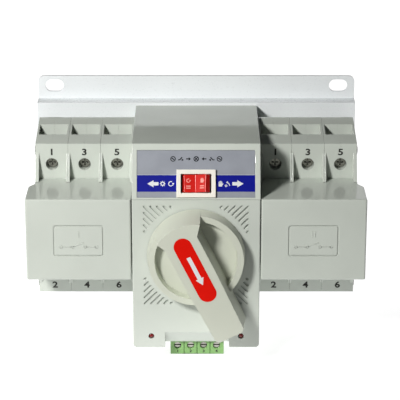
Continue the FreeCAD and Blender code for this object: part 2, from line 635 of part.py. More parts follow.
def trip_coil(middle):
    """Magnetic trip coil on its core, with the strip up to the upper clamp."""
    spot = (middle, up("coil_height"))
    winding = rod("depth", "coil_radius", ("coil_back", "coil_front"), spot)
    core = rod("depth", "core_radius", ("coil_back - core_overhang", "coil_front + core_overhang"), spot)
    strip = block(about(middle, "strip_half"), ("strip_back", "strip_front"),
                  (up("coil_height"), up("clamp_high")))
    return fuse([winding, core, strip])


def rivet(spot, sign):
    depth, height = spot
    ends = ("%d * breaker_x - pole_pitch * 1.5 + pole_gap / 2" % sign,
            "%d * breaker_x + pole_pitch * 1.5 - pole_gap / 2" % sign)
    centre = (depth, up(height))
    shank = rod("x", "rivet_radius", ends, centre)
    outer = 1 if sign > 0 else 0
    head = [("%s - rivet_head" % ends[0], ends[0]), (ends[1], "%s + rivet_head" % ends[1])][outer]
    return fuse([shank, rod("x", "rivet_head_radius", head, centre)])


def breaker(side, sign):
    """Everything of one three-pole breaker but its front cover."""
    middles = ["(%d * breaker_x + %d * pole_pitch)" % (sign, pole) for pole in POLES]
    for facing, name in ((-1, "left_half_shells"), (1, "right_half_shells")):
        shells = []
        for pole, middle in zip(POLES, middles):
            outermost = pole == facing
            shells.append(case_shell(middle, facing, "fin * 2" if outermost else "fin"))
        node(group(shells), "%s_breaker_%s" % (side, name))
    ends = (-1, 1)
    screws = [clamp_screw(middle, "%d * screw_height" % end) for middle in middles for end in ends]
    node(group(screws), "%s_terminal_screws" % side)
    cages = [clamp_cage(middle, end) for middle in middles for end in ends]
    node(group(cages), "%s_terminal_clamps" % side)
    tilt = "%d * toggle_tilt" % -sign
    levers = group([toggle(middle) for middle in middles])
    node(place(levers, "0", "toggle_depth", "breaker_z", AXIS_X, tilt), "%s_toggles" % side)
    span = ordered("%d * tie_inner_x" % sign, "%d * tie_outer_x" % sign)
    bar = group([rod("x", "tie_rod_radius", span, ("tie_radius", "0"))])
    node(place(bar, "0", "toggle_depth", "breaker_z", AXIS_X, tilt), "%s_tie_bar" % side)
    arms = group([contact_arm(middle) for middle in middles])
    swing = "-arm_swing" if sign > 0 else "0"
    node(place(arms, "0", "arm_depth", up("arm_height"), AXIS_X, swing), "%s_moving_contacts" % side)
    node(group([fixed_contact(middle) for middle in middles]), "%s_fixed_contacts" % side)
    node(group([arc_chute(middle) for middle in middles]), "%s_arc_chutes" % side)
    node(group([trip_coil(middle) for middle in middles]), "%s_trip_coils" % side)
    node(group([rivet(spot, sign) for spot in rivet_places()]), "%s_rivets" % side)
    clips = [block(about(middle, "clip_half"), ("clip_back", "clip_front"),
                   (up("-clip_low"), up("-(hook_tip + bite)"))) for middle in middles]
    node(group(clips), "%s_rail_clips" % side)


def front_cover(side, sign):
    """Box over the nose, open to the back, with a sunk frame line on its face."""
    def at(x):
        return "%d * (%s)" % (sign, x)
    outer = [("cover_inner_x", "front_depth"), ("cover_outer_x", "front_depth"),
             ("cover_outer_x", "cover_side_back"), ("case_outer_x", "cover_chamfer_back"),
             ("case_outer_x", "cover_back"), ("cover_inner_x", "cover_back")]
    inner = [("cover_inner_x + cover_wall", "front_depth - cover_wall"),
             ("cover_outer_x - cover_wall", "front_depth - cover_wall"),
             ("cover_outer_x - cover_wall", "cover_side_back + cover_step"),
             ("case_outer_x + case_clear", "cover_chamfer_back + chamfer_shift"),
             ("case_outer_x + case_clear", "cover_back - over"),
             ("cover_inner_x - over", "cover_back - over"), ("cover_inner_x - over", "cover_inner_side_back"),
             ("cover_inner_x + cover_wall", "cover_inner_side_back")]
    body = prism("plan", [[(at(x), depth) for x, depth in outer]], ("cover_bottom", "cover_top"))
    pocket(body, "plan", [[(at(x), depth) for x, depth in inner]],
           ("cover_bottom + cover_wall", "cover_top - cover_wall"))
    window = rectangle(("window_back", "window_front"), (up("-window_reach"), up("window_reach")))
    through = ordered(at("cover_inner_x - over"), at("cover_inner_x + cover_wall + over"))
    pocket(body, "side", [window], through)
    front = -value("front_depth")
    far = value("cover_outer_x")

    def outside(edge):
        middle = edge.CenterOfMass
        on_front = abs(middle.y - front) < 0.01
        return on_front or (abs(abs(middle.x) - far) < 0.01 and edge.Length > 10)
    round_edges(body, "edge_round", outside)

    def framed(inset):
        half = ("frame_width / 2 - %s" % inset, "frame_height / 2 - %s" % inset)
        return rounded_box(about(at("frame_x"), half[0]), ("front_depth - frame_deep", "front_depth + over"),
                           about("breaker_z", half[1]), "frame_radius - %s" % inset)
    groove = cut(framed("0"), [framed("frame_line")])
    node(cut(body, [groove]), "%s_front_cover" % side)


# ---------------------------------------------------------------- drive unit housing

def slope_depth(z, inset="0"):
    """Depth of the label face, or of a plane inset behind it, at a height."""
    return "(front_depth - (%s - seam_z) * tan(label_slope) - (%s) / cos(label_slope))" % (z, inset)


def on_slope(item):
    """Stand a piece on the label face.

    It is drawn flat: X stays, depth runs down the slope from the roof edge, Z is proud of the face.
    """
    return place(item, "0", slope_depth("roof_z"), "roof_z", AXIS_X, "90 - label_slope")


def mirrored(spot_x, heights):
    return [("%d * %s" % (sign, spot_x), height) for _, sign in SIDES for height in heights]


def add_bosses(body, spots):
    """Screw bosses on the back wall, bored for the plate screws."""
    depth = (PLATE_FACE, "boss_end")
    pad(body, "front", [circle(spot, "boss_radius") for spot in spots], depth)
    pocket(body, "front", [circle(spot, "screw_three") for spot in spots],
           ("%s - over" % PLATE_FACE, "screw_three_end"))


def switch_opening(proud):
    """Cutter on the label face for the rocker switch's case."""
    return block(about("0", "(switch_half + label_play)"),
                 about("rocker_centre", "(switch_half_height + label_play)"), proud)


def lower_housing():
    """Tray behind the dial panel: back wall, sides and floor."""
    side = ("-unit_half", "unit_half")
    body = prism("front", [rectangle(side, ("unit_bottom", "seam_z - seam_gap"))],
                 (PLATE_FACE, "panel_back"))
    inside = rectangle(("-unit_half + unit_wall", "unit_half - unit_wall"),
                       ("unit_bottom + unit_wall", "seam_z + over"))
    pocket(body, "front", [inside], ("%s + unit_wall" % PLATE_FACE, "panel_back + over"))
    add_bosses(body, mirrored("boss_x", ("housing_boss_low", "housing_boss_high")))
    holes = [circle(spot, "standoff_hole") for spot in mirrored("standoff_x", ("standoff_low",))]
    pocket(body, "front", holes, ("%s - over" % PLATE_FACE, "%s + unit_wall + over" % PLATE_FACE))
    window = rectangle(("window_back", "window_front"), (up("-window_reach"), up("window_reach")))
    pocket(body, "side", [window], ("-unit_half - over", "unit_half + over"))
    below = rectangle(("notch_left - notch_wall - notch_gap", "notch_right + notch_wall + notch_gap"),
                      ("block_back - block_clear", "panel_back + over"))
    pocket(body, "plan", [below], ("unit_bottom - over", "unit_bottom + unit_wall + over"))
    node(body, "lower_housing")


def hood():
    """Upper shell: roof, sides, back wall and the sloping label face."""
    low, back = "seam_z", PLATE_FACE
    outline = [(back, low), (back, "roof_z"), (slope_depth("roof_z"), "roof_z"), (slope_depth(low), low)]
    hollow_top = "roof_z - unit_wall"
    hollow = [("%s + unit_wall" % back, "%s - over" % low), ("%s + unit_wall" % back, hollow_top),
              (slope_depth(hollow_top, "unit_wall"), hollow_top),
              (slope_depth("(%s - over)" % low, "unit_wall"), "%s - over" % low)]
    body = prism("side", [outline], ("-unit_half", "unit_half"))
    pocket(body, "side", [hollow], ("-unit_half + unit_wall", "unit_half - unit_wall"))
    add_bosses(body, mirrored("boss_x", ("hood_boss_z",)))
    holes = [circle(spot, "standoff_hole") for spot in mirrored("standoff_x", ("standoff_high",))]
    pocket(body, "front", holes, ("%s - over" % back, "%s + unit_wall + over" % back))
    recess = block(about("0", "(label_half + label_play)"),
                   ("label_top - label_play", "label_bottom + label_play"), ("-label_recess", "over"))
    opening = switch_opening(("-unit_wall * 2", "over"))
    node(cut(body, [on_slope(fuse([recess, opening]))]), "hood")


def groove_cutter():
    """Shallow 45-degree grooves in the four corners round the dial, ending on a circle."""
    field = value("hatch_field")
    inner = value("hatch_circle")
    pitch = value("hatch_pitch")
    radius = value("hatch_width") / 2
    back = -value("front_depth + over")
    deep = value("over + hatch_deep")
    slots = []
    for step in range(-GROOVES_EACH_SIDE, GROOVES_EACH_SIDE + 1):
        offset = step * pitch
        start = math.sqrt(inner ** 2 - offset ** 2) + radius
        stop = field * math.sqrt(2) - abs(offset) - radius
        low = Vector(start, 0, offset - radius)
        high = Vector(max(stop, start + value("bite")), 0, offset + radius)
        corners = [low, Vector(high.x, 0, low.z), high, Vector(low.x, 0, high.z)]
        caps = [Vector(high.x + radius, 0, offset), Vector(low.x - radius, 0, offset)]
        edges = [Part.LineSegment(corners[0], corners[1]), Part.Arc(corners[1], caps[0], corners[2]),
                 Part.LineSegment(corners[2], corners[3]), Part.Arc(corners[3], caps[1], corners[0])]
        face = Part.Face(Part.Wire([edge.toShape() for edge in edges]))
        slots.append(face.extrude(Vector(0, deep, 0)))
    spread = []
    for quarter in range(4):
        for slot in slots:
            turned = slot.copy()
            turned.rotate(Vector(0, 0, 0), AXIS_Y, 45 + 90 * quarter)
            turned.translate(Vector(0, back, value("dial_z")))
            spread.append(turned)
    item = doc.addObject("Part::Feature", "GrooveCutter")
    item.Shape = Part.makeCompound(spread)
    return item


def dial_panel():
    """Front plate of the lower housing: skirt, dial hole, grooves, lamps' holes, terminal notch."""
    side = ("-unit_half", "unit_half")
    height = ("unit_bottom", "seam_z - seam_gap")
    body = prism("front", [rectangle(side, height)], ("panel_back", "front_depth"))
    inside = rectangle(("-unit_half + unit_wall", "unit_half - unit_wall"),
                       ("unit_bottom + unit_wall", "seam_z - seam_gap - unit_wall"))
    pocket(body, "front", [inside], ("panel_back - over", "front_depth - unit_wall"))
    beside = rectangle(("-bezel_half", "bezel_half"), ("seam_z - unit_wall - over", "seam_z"))
    pocket(body, "front", [beside], ("panel_back - over", "front_depth - unit_wall"))
    rise = "((notch_top - unit_bottom) / (front_depth - notch_back))"
    ramp = [("front_depth - ramp_sink", "notch_top + notch_wall"),
            ("front_depth - ramp_sink", "unit_bottom"), ("notch_back - ramp_back", "unit_bottom"),
            ("front_depth - unit_wall", "notch_top - unit_wall * %s + notch_wall * ramp_thick" % rise)]
    pad(body, "side", [ramp], ("notch_left - notch_wall", "notch_right + notch_wall"))
    below = "unit_bottom - %s" % rise
    mouth = [("front_depth + over", "notch_top + %s" % rise), ("front_depth + over", below),
             ("notch_back - over", below)]
    pocket(body, "side", [mouth], ("notch_left", "notch_right"))
    holes = [circle(("0", "dial_z"), "hub_hole_radius")]
    holes += [circle(spot, "led_hole_radius") for spot in mirrored("led_x", ("led_z",))]
    pocket(body, "front", holes, ("panel_back", "front_depth + over"))
    tab_x = "unit_half - unit_wall - bite"
    tabs = [rectangle(ordered("%d * (%s)" % (sign, tab_x), "%d * (%s - tab_sheet)" % (sign, tab_x)),
                      about(z, "tab_half"))
            for _, sign in SIDES for z in ("(dial_z + tab_high)", "(dial_z - tab_low)")]
    pad(body, "front", tabs, ("tab_end", "front_depth - unit_wall"))
    side_x, low_z, front = value("unit_half"), value("unit_bottom"), -value("front_depth")

    def bottom_corner(edge):
        middle = edge.CenterOfMass
        upright = abs(edge.tangentAt(edge.FirstParameter).y) > 0.99
        return upright and abs(abs(middle.x) - side_x) < 0.01 and abs(middle.z - low_z) < 0.01
    round_edges(body, "panel_corner", bottom_corner)

    def front_rim(edge):
        middle = edge.CenterOfMass
        at_side = abs(abs(middle.x) - side_x) < 0.01
        return abs(middle.y - front) < 0.01 and at_side
    round_edges(body, "rim_round", front_rim)
    node(cut(body, [groove_cutter()]), "dial_panel")


def label_plate():
    """Printed plate in the hood's recess, cut out round the rocker switch."""
    plate = block(about("0", "label_half"), ("label_top", "label_bottom"),
                  ("-label_recess", "label_sheet - label_recess"))
    opening = switch_opening(("-unit_wall", "over"))
    node(on_slope(cut(plate, [opening])), "label_plate")


def on_pivot(item):
    """Put a piece drawn about the rocker's pivot, with Y along the slope, onto the label face."""
    turned = group([item])
    turned.Placement = Placement(Vector(0, 0, 0), Rotation(AXIS_X, 1))
    bind(turned, "Placement.Rotation.Angle", "90 - label_slope")
    down = "(rocker_centre * sin(label_slope) - rocker_pivot * cos(label_slope))"
    bind(turned, "Placement.Base.y", "-(%s) - %s" % (slope_depth("roof_z"), down))
    bind(turned, "Placement.Base.z",
         "roof_z - rocker_centre * cos(label_slope) - rocker_pivot * sin(label_slope)")
    return turned


def rocker_switch():
    """Two-position rocker: bezel and case in one piece, button on two pivot pins, three blades."""
    def around(x, half, proud):
        return block(("-%s" % x, x), about("rocker_centre", half), proud)
    rim = around("bezel_half", "bezel_half_height", ("label_sheet - label_recess", "bezel_rise"))
    case = around("switch_half", "switch_half_height", ("-switch_deep", "bezel_rise"))
    cavity = around("rocker_opening", "rocker_opening_height", ("-rocker_cavity", "bezel_rise + over"))
    seat_half = "(rocker_pin_end + bite)"
    seat = rod("depth", "rocker_pin_radius + running_gap", about("rocker_centre", seat_half),
               ("0", "-rocker_pivot"))
    node(on_slope(cut(fuse([rim, case]), [cavity, seat])), "rocker_bezel")
    left = [("-rocker_crown", "rocker_rise"), ("-rocker_half", "rocker_shoulder"),
            ("-rocker_belly_half", "-rocker_belly")]
    right = [(x[1:], z) for x, z in reversed(left)]
    body = prism("front", [left + right + [("0", "rocker_dip")]],
                 ("-rocker_half_height", "rocker_half_height"))
    pins = rod("depth", "rocker_pin_radius", ("-rocker_pin_end", "rocker_pin_end"), ("0", "0"))
    button = place(fuse([body, pins]), "0", "0", "0", AXIS_Y, "-rocker_tilt")
    node(on_pivot(button), "rocker_button")
    blades = [block(about("%d * blade_pitch" % step, "blade_sheet / 2"), about("rocker_centre", "blade_half"),
                    ("-switch_deep - blade_length", "-switch_deep")) for step in POLES]
    node(on_slope(group(blades)), "rocker_terminals")


# ---------------------------------------------------------------- handle

def on_dial(item):
    """Put a piece drawn about the dial's axis in the pose with source two switched in."""
    return place(item, "0", "0", "dial_z", AXIS_Y, "-handle_angle")


def on_pointer(item):
    """Put a piece of the moulded handle on the dial; its pointer leans a little past the crank's line."""
    return place(group([item]), "0", "0", "dial_z", AXIS_Y, "-(handle_angle + pointer_lean)")


def aside(item):
    """Move a piece drawn on the dial's axis over to the pointer bar's own middle line."""
    return place(item, "arm_shift")


def grip_arm():
    """Pointer bar with drafted sides and rounded tip."""
    body = new_body()
    outline = [("-arm_tip_half", "-arm_tip"), ("arm_tip_half", "-arm_tip"), ("grip_half", "-grip_start"),
               ("grip_half", "fan_start"), ("-grip_half", "fan_start"), ("-grip_half", "-grip_start")]
    drawing = sketch(body, "front", [outline], "arm_front")
    feature = body.newObject("PartDesign::Pad", "Pad")
    feature.Profile = drawing
    feature.Reversed = True
    bind(feature, "Length", "arm_front - pocket_floor + arm_root")
    bind(feature, "TaperAngle", "arm_draft")
    body.Tip = feature
    tip = -value("arm_tip")

    def tip_corner(edge):
        middle = edge.CenterOfMass
        return middle.z < tip + 1.5 and abs(edge.tangentAt(edge.FirstParameter).y) > 0.9
    round_edges(body, "arm_corner", tip_corner)
    return body


def handle():
    """Moulded dial: round skirt with two finger pockets, pointer bar, flared tail, hub."""
    centre = ("0", "0")
    skirt = cone(("ring_radius", "ring_radius - ring_draft"), ("handle_back", "ring_front"), centre)
    pockets = cone(("pocket_radius - pocket_draft", "pocket_radius"),
                   ("pocket_floor", "ring_front + over"), centre)
    dish = cut(skirt, [pockets])
    hub = rod("depth", "hub_radius", ("hub_back", "pocket_floor - over"), centre)
    height = ("pocket_floor - over", "arm_front")
    left, right = about("arm_shift", "grip_half")
    beyond = "2 * fan_corner - fan_start"
    wedge = prism("front", [[(left, "wedge_start"), (right, "wedge_start"), (right, "fan_start"),
                             ("2 * fan_half - (%s)" % right, beyond), ("-2 * fan_half - (%s)" % left, beyond),
                             (left, "fan_start")]], height)
    tail = common(cone(("fan_base_radius", "fan_radius"), height, centre), wedge)
    solid = fuse([dish, hub, aside(grip_arm()), tail])
    bore = rod("depth", "shaft_radius", ("hub_back - over", "shaft_front"), centre)
    screw_hole = rod("depth", "handle_screw_radius + running_gap",
                     ("shaft_front - over", "arm_front"), centre)
    counterbore = rod("depth", "handle_screw_head + running_gap",
                      ("handle_screw_head_back", "arm_front + over"), centre)
    sunk = aside(stadium("label_half_length + running_gap", "label_radius + running_gap",
                         ("arm_front - label_deep", "arm_front + over"), "label_shift"))
    under = block(about("arm_shift", "arm_tip_half - grip_cavity_wall"),
                  ("handle_back - over", "arm_front - grip_cavity_wall"),
                  ("-arm_tip + grip_cavity_wall", "-grip_cavity_inner"))
    node(on_pointer(cut(solid, [bore, screw_hole, counterbore, sunk, under])), "handle")


def handle_fittings():
    """Pieces that turn with the handle."""
    centre = ("0", "0")
    badge = stadium("label_half_length", "label_radius",
                    ("arm_front - label_deep", "arm_front + label_proud"), "label_shift")
    node(on_pointer(aside(badge)), "handle_label")
    screw = pan_screw(centre, "handle_screw_head", "handle_screw_radius",
                      ("handle_screw_head_back", "arm_front - label_deep - bite"), "handle_screw_end")
    node(on_dial(screw), "handle_screw")
    thread = rod("depth", "handle_screw_radius", ("handle_screw_end - over", "shaft_front + over"), centre)
    shaft = cut(rod("depth", "shaft_radius", ("shaft_back", "shaft_front"), centre), [thread])
    node(on_dial(shaft), "handle_shaft")
    disc = rod("depth", "disc_radius", ("disc_back", "disc_front"), centre)
    pins = [rod("depth", "crank_pin_radius", ("crank_pin_end", "disc_front"),
                ("%d * crank_radius" % sign, "0")) for _, sign in SIDES]
    hole = rod("depth", "shaft_radius", ("disc_back - over", "disc_front + over"), centre)
    node(on_dial(cut(fuse([disc] + pins), [hole])), "drive_disc")
    washer = rod("depth", "circlip_radius", ("bush_back - circlip_sheet - bite", "bush_back - bite"), centre)
    inside = rod("depth", "shaft_radius", ("bush_back - circlip_sheet - over", "bush_back + over"), centre)
    node(on_dial(cut(washer, [inside])), "shaft_circlip")


# ---------------------------------------------------------------- gear train

def involute(angle):
    return math.tan(angle) - angle


def gear_solid(teeth, centre_z, depth, phase):
    """Spur gear with involute flanks; phase is the angle of its first tooth in degrees."""
    module = value("gear_module")
    pressure = math.radians(value("pressure_angle"))
    pitch_radius = module * teeth / 2
    base = pitch_radius * math.cos(pressure)
    tip = pitch_radius + value("addendum") * module
    root = pitch_radius - value("dedendum") * module
    half = math.pi / (2 * teeth) - value("backlash") / (4 * pitch_radius)
    start = max(root, base)
    radii = [start + (tip - start) * step / FLANK_STEPS for step in range(FLANK_STEPS + 1)]
    flank = [(root, half + involute(pressure))]
    flank += [(radius, half + involute(pressure) - involute(math.acos(base / radius))) for radius in radii]
    points = []
    for tooth in range(teeth):
        middle = math.radians(phase) + 2 * math.pi * tooth / teeth
        outline = [(radius, middle - angle) for radius, angle in flank]
        outline += [(radius, middle + angle) for radius, angle in reversed(flank)]
        points += [Vector(radius * math.cos(angle), -value(depth[1]), centre_z + radius * math.sin(angle))
                   for radius, angle in outline]
    face = Part.Face(Part.makePolygon(points + points[:1]))
    return face.extrude(Vector(0, value(depth[1]) - value(depth[0]), 0))


def gear_feature(solid, bore_radius, centre_z):
    """Bore the gear and hold it as an object of the document."""
    front = value("arm_front")
    hole = Part.makeCylinder(bore_radius, front, Vector(0, -front, centre_z), AXIS_Y)
    item = doc.addObject("Part::Feature", "Gear")
    item.Shape = solid.cut(hole)
    return item


def gears():
    """Large gear on the handle's shaft, pinion above it, a tooth gap facing a tooth."""
    teeth, small = round(value("gear_teeth")), round(value("pinion_teeth"))
    axis_z = value("dial_z")
    pinion_z = value(PINION_Z)
    large = gear_solid(teeth, axis_z, ("gear_back", "gear_front"), 90 + 180 / teeth)
    node(gear_feature(large, value("shaft_radius"), axis_z), "main_gear")
    little = gear_solid(small, pinion_z, ("pinion_back", "pinion_front"), -90)
    wheel = gear_feature(little, value("motor_shaft_radius"), pinion_z)
    spindle = rod("depth", "motor_shaft_radius", ("motor_shaft_back", "pinion_front + spindle_proud"),
                  ("0", PINION_Z))
    node(fuse([wheel, spindle]), "motor_pinion")


def motor():
    """Round gear motor fixed behind the mechanism plate."""
    centre = ("0", PINION_Z)
    can = rod("depth", "motor_radius", ("motor_back", "plate_back_depth"), centre)
    boss = rod("depth", "motor_boss_radius", ("plate_back_depth - over", "plate_front_depth"), centre)
    cap = rod("depth", "motor_radius - cap_step", ("motor_back - cap_deep", "motor_back"), centre)
    bore = rod("depth", "motor_shaft_radius + running_gap",
               ("motor_shaft_back - bite", "plate_front_depth + over"), centre)
    node(cut(fuse([can, boss, cap]), [bore]), "motor")


# ---------------------------------------------------------------- mechanism

def slider(side, sign):
    """Plate that a crank pin lifts and that carries the breaker's tie bar."""
    def span(low, high):
        return ordered("%d * (%s)" % (sign, low), "%d * (%s)" % (sign, high))
    plate = rectangle(span("slider_inner_x", "slider_outer_x"), ("slider_low", "slider_high"))
    body = prism("front", [plate], ("slider_back", "slider_front"))
    fork = rectangle(span("fork_inner_x", "slider_outer_x"), (up("-fork_half"), up("fork_half")))
    pad(body, "front", [fork], ("fork_back", "slider_back + bite"))
    through = ("slider_back - over", "slider_front + over")
    yoke = rectangle(span("yoke_inner_x", "yoke_outer_x"), ("dial_z - yoke_half", "dial_z + yoke_half"))
    reach = "(travel_half + post_radius + guide_gap)"
    across = span(*about("post_x", "(post_radius + running_gap)"))
    guides = [rectangle(across, about(z, reach)) for z in ("post_high_z", "post_low_z")]
    pocket(body, "front", [yoke] + guides, through)
    mouth = rectangle(span("fork_inner_x - over", "slider_outer_x + over"),
                      (up("-fork_gap_half"), up("fork_gap_half")))
    pocket(body, "front", [mouth], ("fork_back - over", "fork_gap_front"))
    bind(body, "Placement.Base.z", "%d * travel_half" % sign)
    node(body, "%s_slider" % side)


def mechanism():
    """Steel plate that carries the shaft, the motor and the sliders' guide posts."""
    posts = mirrored("post_x", ("post_low_z", "post_high_z"))
    fixings = mirrored("standoff_x", ("standoff_low", "standoff_high"))
    body = prism("front", [rectangle(("-mech_half", "mech_half"), ("mech_low", "mech_high"))],
                 ("plate_back_depth", "plate_front_depth"))
    holes = [circle(("0", "dial_z"), "bush_radius"), circle(("0", PINION_Z), "motor_boss_radius")]
    holes += [circle(spot, "post_radius") for spot in posts]
    holes += [circle(spot, "screw_three") for spot in fixings]
    pocket(body, "front", holes, ("plate_back_depth - over", "plate_front_depth + over"))
    node(body, "mechanism_plate")
    pins = [fuse([rod("depth", "post_radius", ("plate_back_depth", "post_front"), spot),
                  rod("depth", "post_sleeve_radius", ("plate_front_depth", "post_sleeve_front"), spot)])
            for spot in posts]
    node(group(pins), "guide_posts")
    pillars = [cut(rod("depth", "standoff_radius", (PLATE_FACE, "plate_back_depth"), spot),
                   [rod("depth", "screw_three", ("%s - over" % PLATE_FACE, "screw_three_end"), spot),
                    rod("depth", "screw_three",
                        ("plate_back_depth - standoff_thread", "plate_back_depth + over"), spot)])
               for spot in fixings]
    node(group(pillars), "standoffs")
    head = ("plate_front_depth", "plate_front_depth + screw_head_height")
    screws = [pan_screw(spot, "screw_three_head", "screw_three", head, "plate_back_depth - screw_reach")
              for spot in fixings]
    node(group(screws), "mechanism_screws")
    centre = ("0", "dial_z")
    bush = cut(fuse([rod("depth", "bush_radius", ("bush_back", "plate_front_depth"), centre),
                     rod("depth", "bush_flange_radius", ("plate_front_depth", "bush_flange_front"), centre)]),
               [rod("depth", "shaft_radius + running_gap",
                    ("bush_back - over", "bush_flange_front + over"), centre)])
    node(bush, "shaft_bush")


# ---------------------------------------------------------------- electronics

def electronics():
    """Board on the housing floor with relays, mains transformer and limit switches."""
    board_x = ("-board_half", "board_half")
    board = block(board_x, ("board_back", "board_front"), ("board_top - board_sheet", "board_top"))
    node(board, "circuit_board")
    relays = [block(ordered("%d * relay_inner_x" % sign, "%d * relay_outer_x" % sign),
                    ("relay_back", "relay_front"), ("board_top", "relay_top")) for _, sign in SIDES]
    node(group(relays), "relays")
    laminations = block(("-core_half", "core_half"), ("core_back", "core_front"), ("board_top", "core_top"))
    bobbin = block(("-core_half + core_window", "core_half - core_window"),
                   ("core_back - bobbin_back_proud", "core_front + bobbin_proud"),
                   ("board_top + core_window", "core_top - core_window"))
    node(fuse([laminations, bobbin]), "transformer")
    switches = []
    for _, sign in SIDES:
        x = "%d * micro_x" % sign
        case = block(about(x, "micro_half"), ("micro_back", "micro_front"), ("board_top", "micro_top"))
        plunger = rod("z", "plunger_radius", ("micro_top - over", "plunger_top"), (x, "plunger_depth"))
        switches.append(fuse([case, plunger]))
    node(group(switches), "limit_switches")
    lamps = []
    for x, z in mirrored("led_x", ("led_z",)):
        dome = doc.addObject("Part::Sphere", "Dome")
        bind(dome, "Radius", "led_radius")
        place(dome, x, "front_depth - led_radius", z)
        foot = "front_depth - led_foot"
        barrel = rod("depth", "led_radius", (foot, "front_depth - led_radius"), (x, z))
        flange = rod("depth", "led_radius + led_flange",
                     ("%s - bite" % foot, "front_depth - unit_wall - running_gap"), (x, z))
        leads = [rod("depth", "lead_radius", ("board_front", foot),
                     ("%s + %d * lead_half" % (x, step), "board_top - board_sheet / 2")) for step in (-1, 1)]
        lamps.append(fuse([dome, barrel, flange] + leads))
    node(group(lamps), "indicator_leds")


def block_places():
    return ["(block_x + (%d - %d / 2) * block_pitch)" % (way, CONTROL_WAYS - 1)
            for way in range(CONTROL_WAYS)]


def terminal_block():
    """Four-way screw terminal under the board, screws to the front, wires from below."""
    half = "(block_pitch * %d / 2 + block_edge)" % CONTROL_WAYS
    outline = [("block_back", "block_top"), ("block_front - block_step", "block_top"),
               ("block_front", "block_top - block_step"), ("block_front", "block_bottom + block_step / 2"),
               ("block_front - block_step / 2", "block_bottom"), ("block_back", "block_bottom")]
    body = prism("side", [outline], about("block_x", half))
    holes = [circle((x, "block_screw_z"), "block_hole_radius") for x in block_places()]
    pocket(body, "front", holes, ("block_hole_back", "block_front + over"))
    entries = [rectangle(about(x, "block_entry_half"), ("block_entry_back", "block_entry_front"))
               for x in block_places()]
    pocket(body, "plan", entries, ("block_bottom - over", "block_entry_top"))
    grooves = [rectangle(about("%s - block_pitch / 2" % x, "groove_half"),
                         ("block_bottom - over", "block_top - block_step * 2")) for x in block_places()[1:]]
    pocket(body, "front", grooves, ("block_front - groove_deep", "block_front + over"))
    node(body, "terminal_block")
    screws = []
    for x in block_places():
        head = rod("depth", "block_screw_radius", ("block_hole_back", "block_hole_back + block_head"),
                   (x, "block_screw_z"))
        slot = block(about(x, "block_screw_radius + bite"),
                     ("block_hole_back + block_slot_base", "block_hole_back + block_head + over"),
                     about("block_screw_z", "block_slot_half"))
        screws.append(cut(head, [slot]))
    node(group(screws), "terminal_block_screws")


# ---------------------------------------------------------------- build, check, write

def build():
    base_plate()
    din_rails()
    plate_screws()
    for side, sign in SIDES:
        breaker(side, sign)
        front_cover(side, sign)
        slider(side, sign)
    lower_housing()
    hood()
    dial_panel()
    label_plate()
    rocker_switch()
    handle()
    handle_fittings()
    gears()
    motor()
    mechanism()
    electronics()
    terminal_block()
    doc.recompute()


def check():
    """Stop on any failed object, and on any sub-part without a valid solid."""
    failed = [item.Label for item in doc.Objects if {"Invalid", "Error"} & set(item.State)]
    if failed:
        raise RuntimeError("failed objects: %s" % ", ".join(failed))
    for item in NODES:
        shape = item.Shape
        if shape.isNull() or not shape.isValid() or not shape.Solids:
            raise RuntimeError("bad sub-part: %s" % item.Label)


def write():
    os.makedirs("parts", exist_ok=True)
    for item in NODES:
        item.Shape.exportStep("parts/%s.step" % item.Label)
        box = item.Shape.BoundBox
        print("%-34s solids %2d  volume %9.1f  x %7.2f %7.2f  y %8.2f %8.2f  z %7.2f %7.2f" % (
            item.Label, len(item.Shape.Solids), item.Shape.Volume,
            box.XMin, box.XMax, box.YMin, box.YMax, box.ZMin, box.ZMax))
    print("%d sub-parts" % len(NODES))


build()
check()
write()
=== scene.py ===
import json
import math

import bmesh
import bpy
from mathutils import Matrix, Vector


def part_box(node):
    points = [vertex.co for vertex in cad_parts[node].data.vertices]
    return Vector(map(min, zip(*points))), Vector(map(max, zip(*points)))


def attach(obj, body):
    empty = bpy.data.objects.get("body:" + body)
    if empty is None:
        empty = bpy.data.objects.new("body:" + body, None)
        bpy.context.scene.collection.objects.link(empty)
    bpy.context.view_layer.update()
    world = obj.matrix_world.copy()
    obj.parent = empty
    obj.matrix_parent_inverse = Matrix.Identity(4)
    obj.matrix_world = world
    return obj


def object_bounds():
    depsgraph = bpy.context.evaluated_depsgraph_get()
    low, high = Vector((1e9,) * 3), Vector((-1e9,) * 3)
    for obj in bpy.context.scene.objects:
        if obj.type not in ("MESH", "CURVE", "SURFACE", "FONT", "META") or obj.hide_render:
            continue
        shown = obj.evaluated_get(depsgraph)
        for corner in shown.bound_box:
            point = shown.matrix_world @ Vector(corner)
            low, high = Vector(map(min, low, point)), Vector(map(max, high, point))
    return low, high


# Looks of the transfer switch: finishes for every CAD node, the printed and
# moulded marks that lie on them, and a plain studio. Metres, in the CAD frame:
# +X right, +Z up, the front faces -Y.

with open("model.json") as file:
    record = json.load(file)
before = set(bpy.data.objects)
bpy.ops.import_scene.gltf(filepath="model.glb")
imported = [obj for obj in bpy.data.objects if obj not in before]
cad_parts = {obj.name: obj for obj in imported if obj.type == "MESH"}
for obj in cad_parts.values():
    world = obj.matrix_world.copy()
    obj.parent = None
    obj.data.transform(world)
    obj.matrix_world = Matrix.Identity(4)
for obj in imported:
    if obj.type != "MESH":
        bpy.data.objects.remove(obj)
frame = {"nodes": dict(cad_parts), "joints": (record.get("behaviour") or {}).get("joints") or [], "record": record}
cad_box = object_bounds()

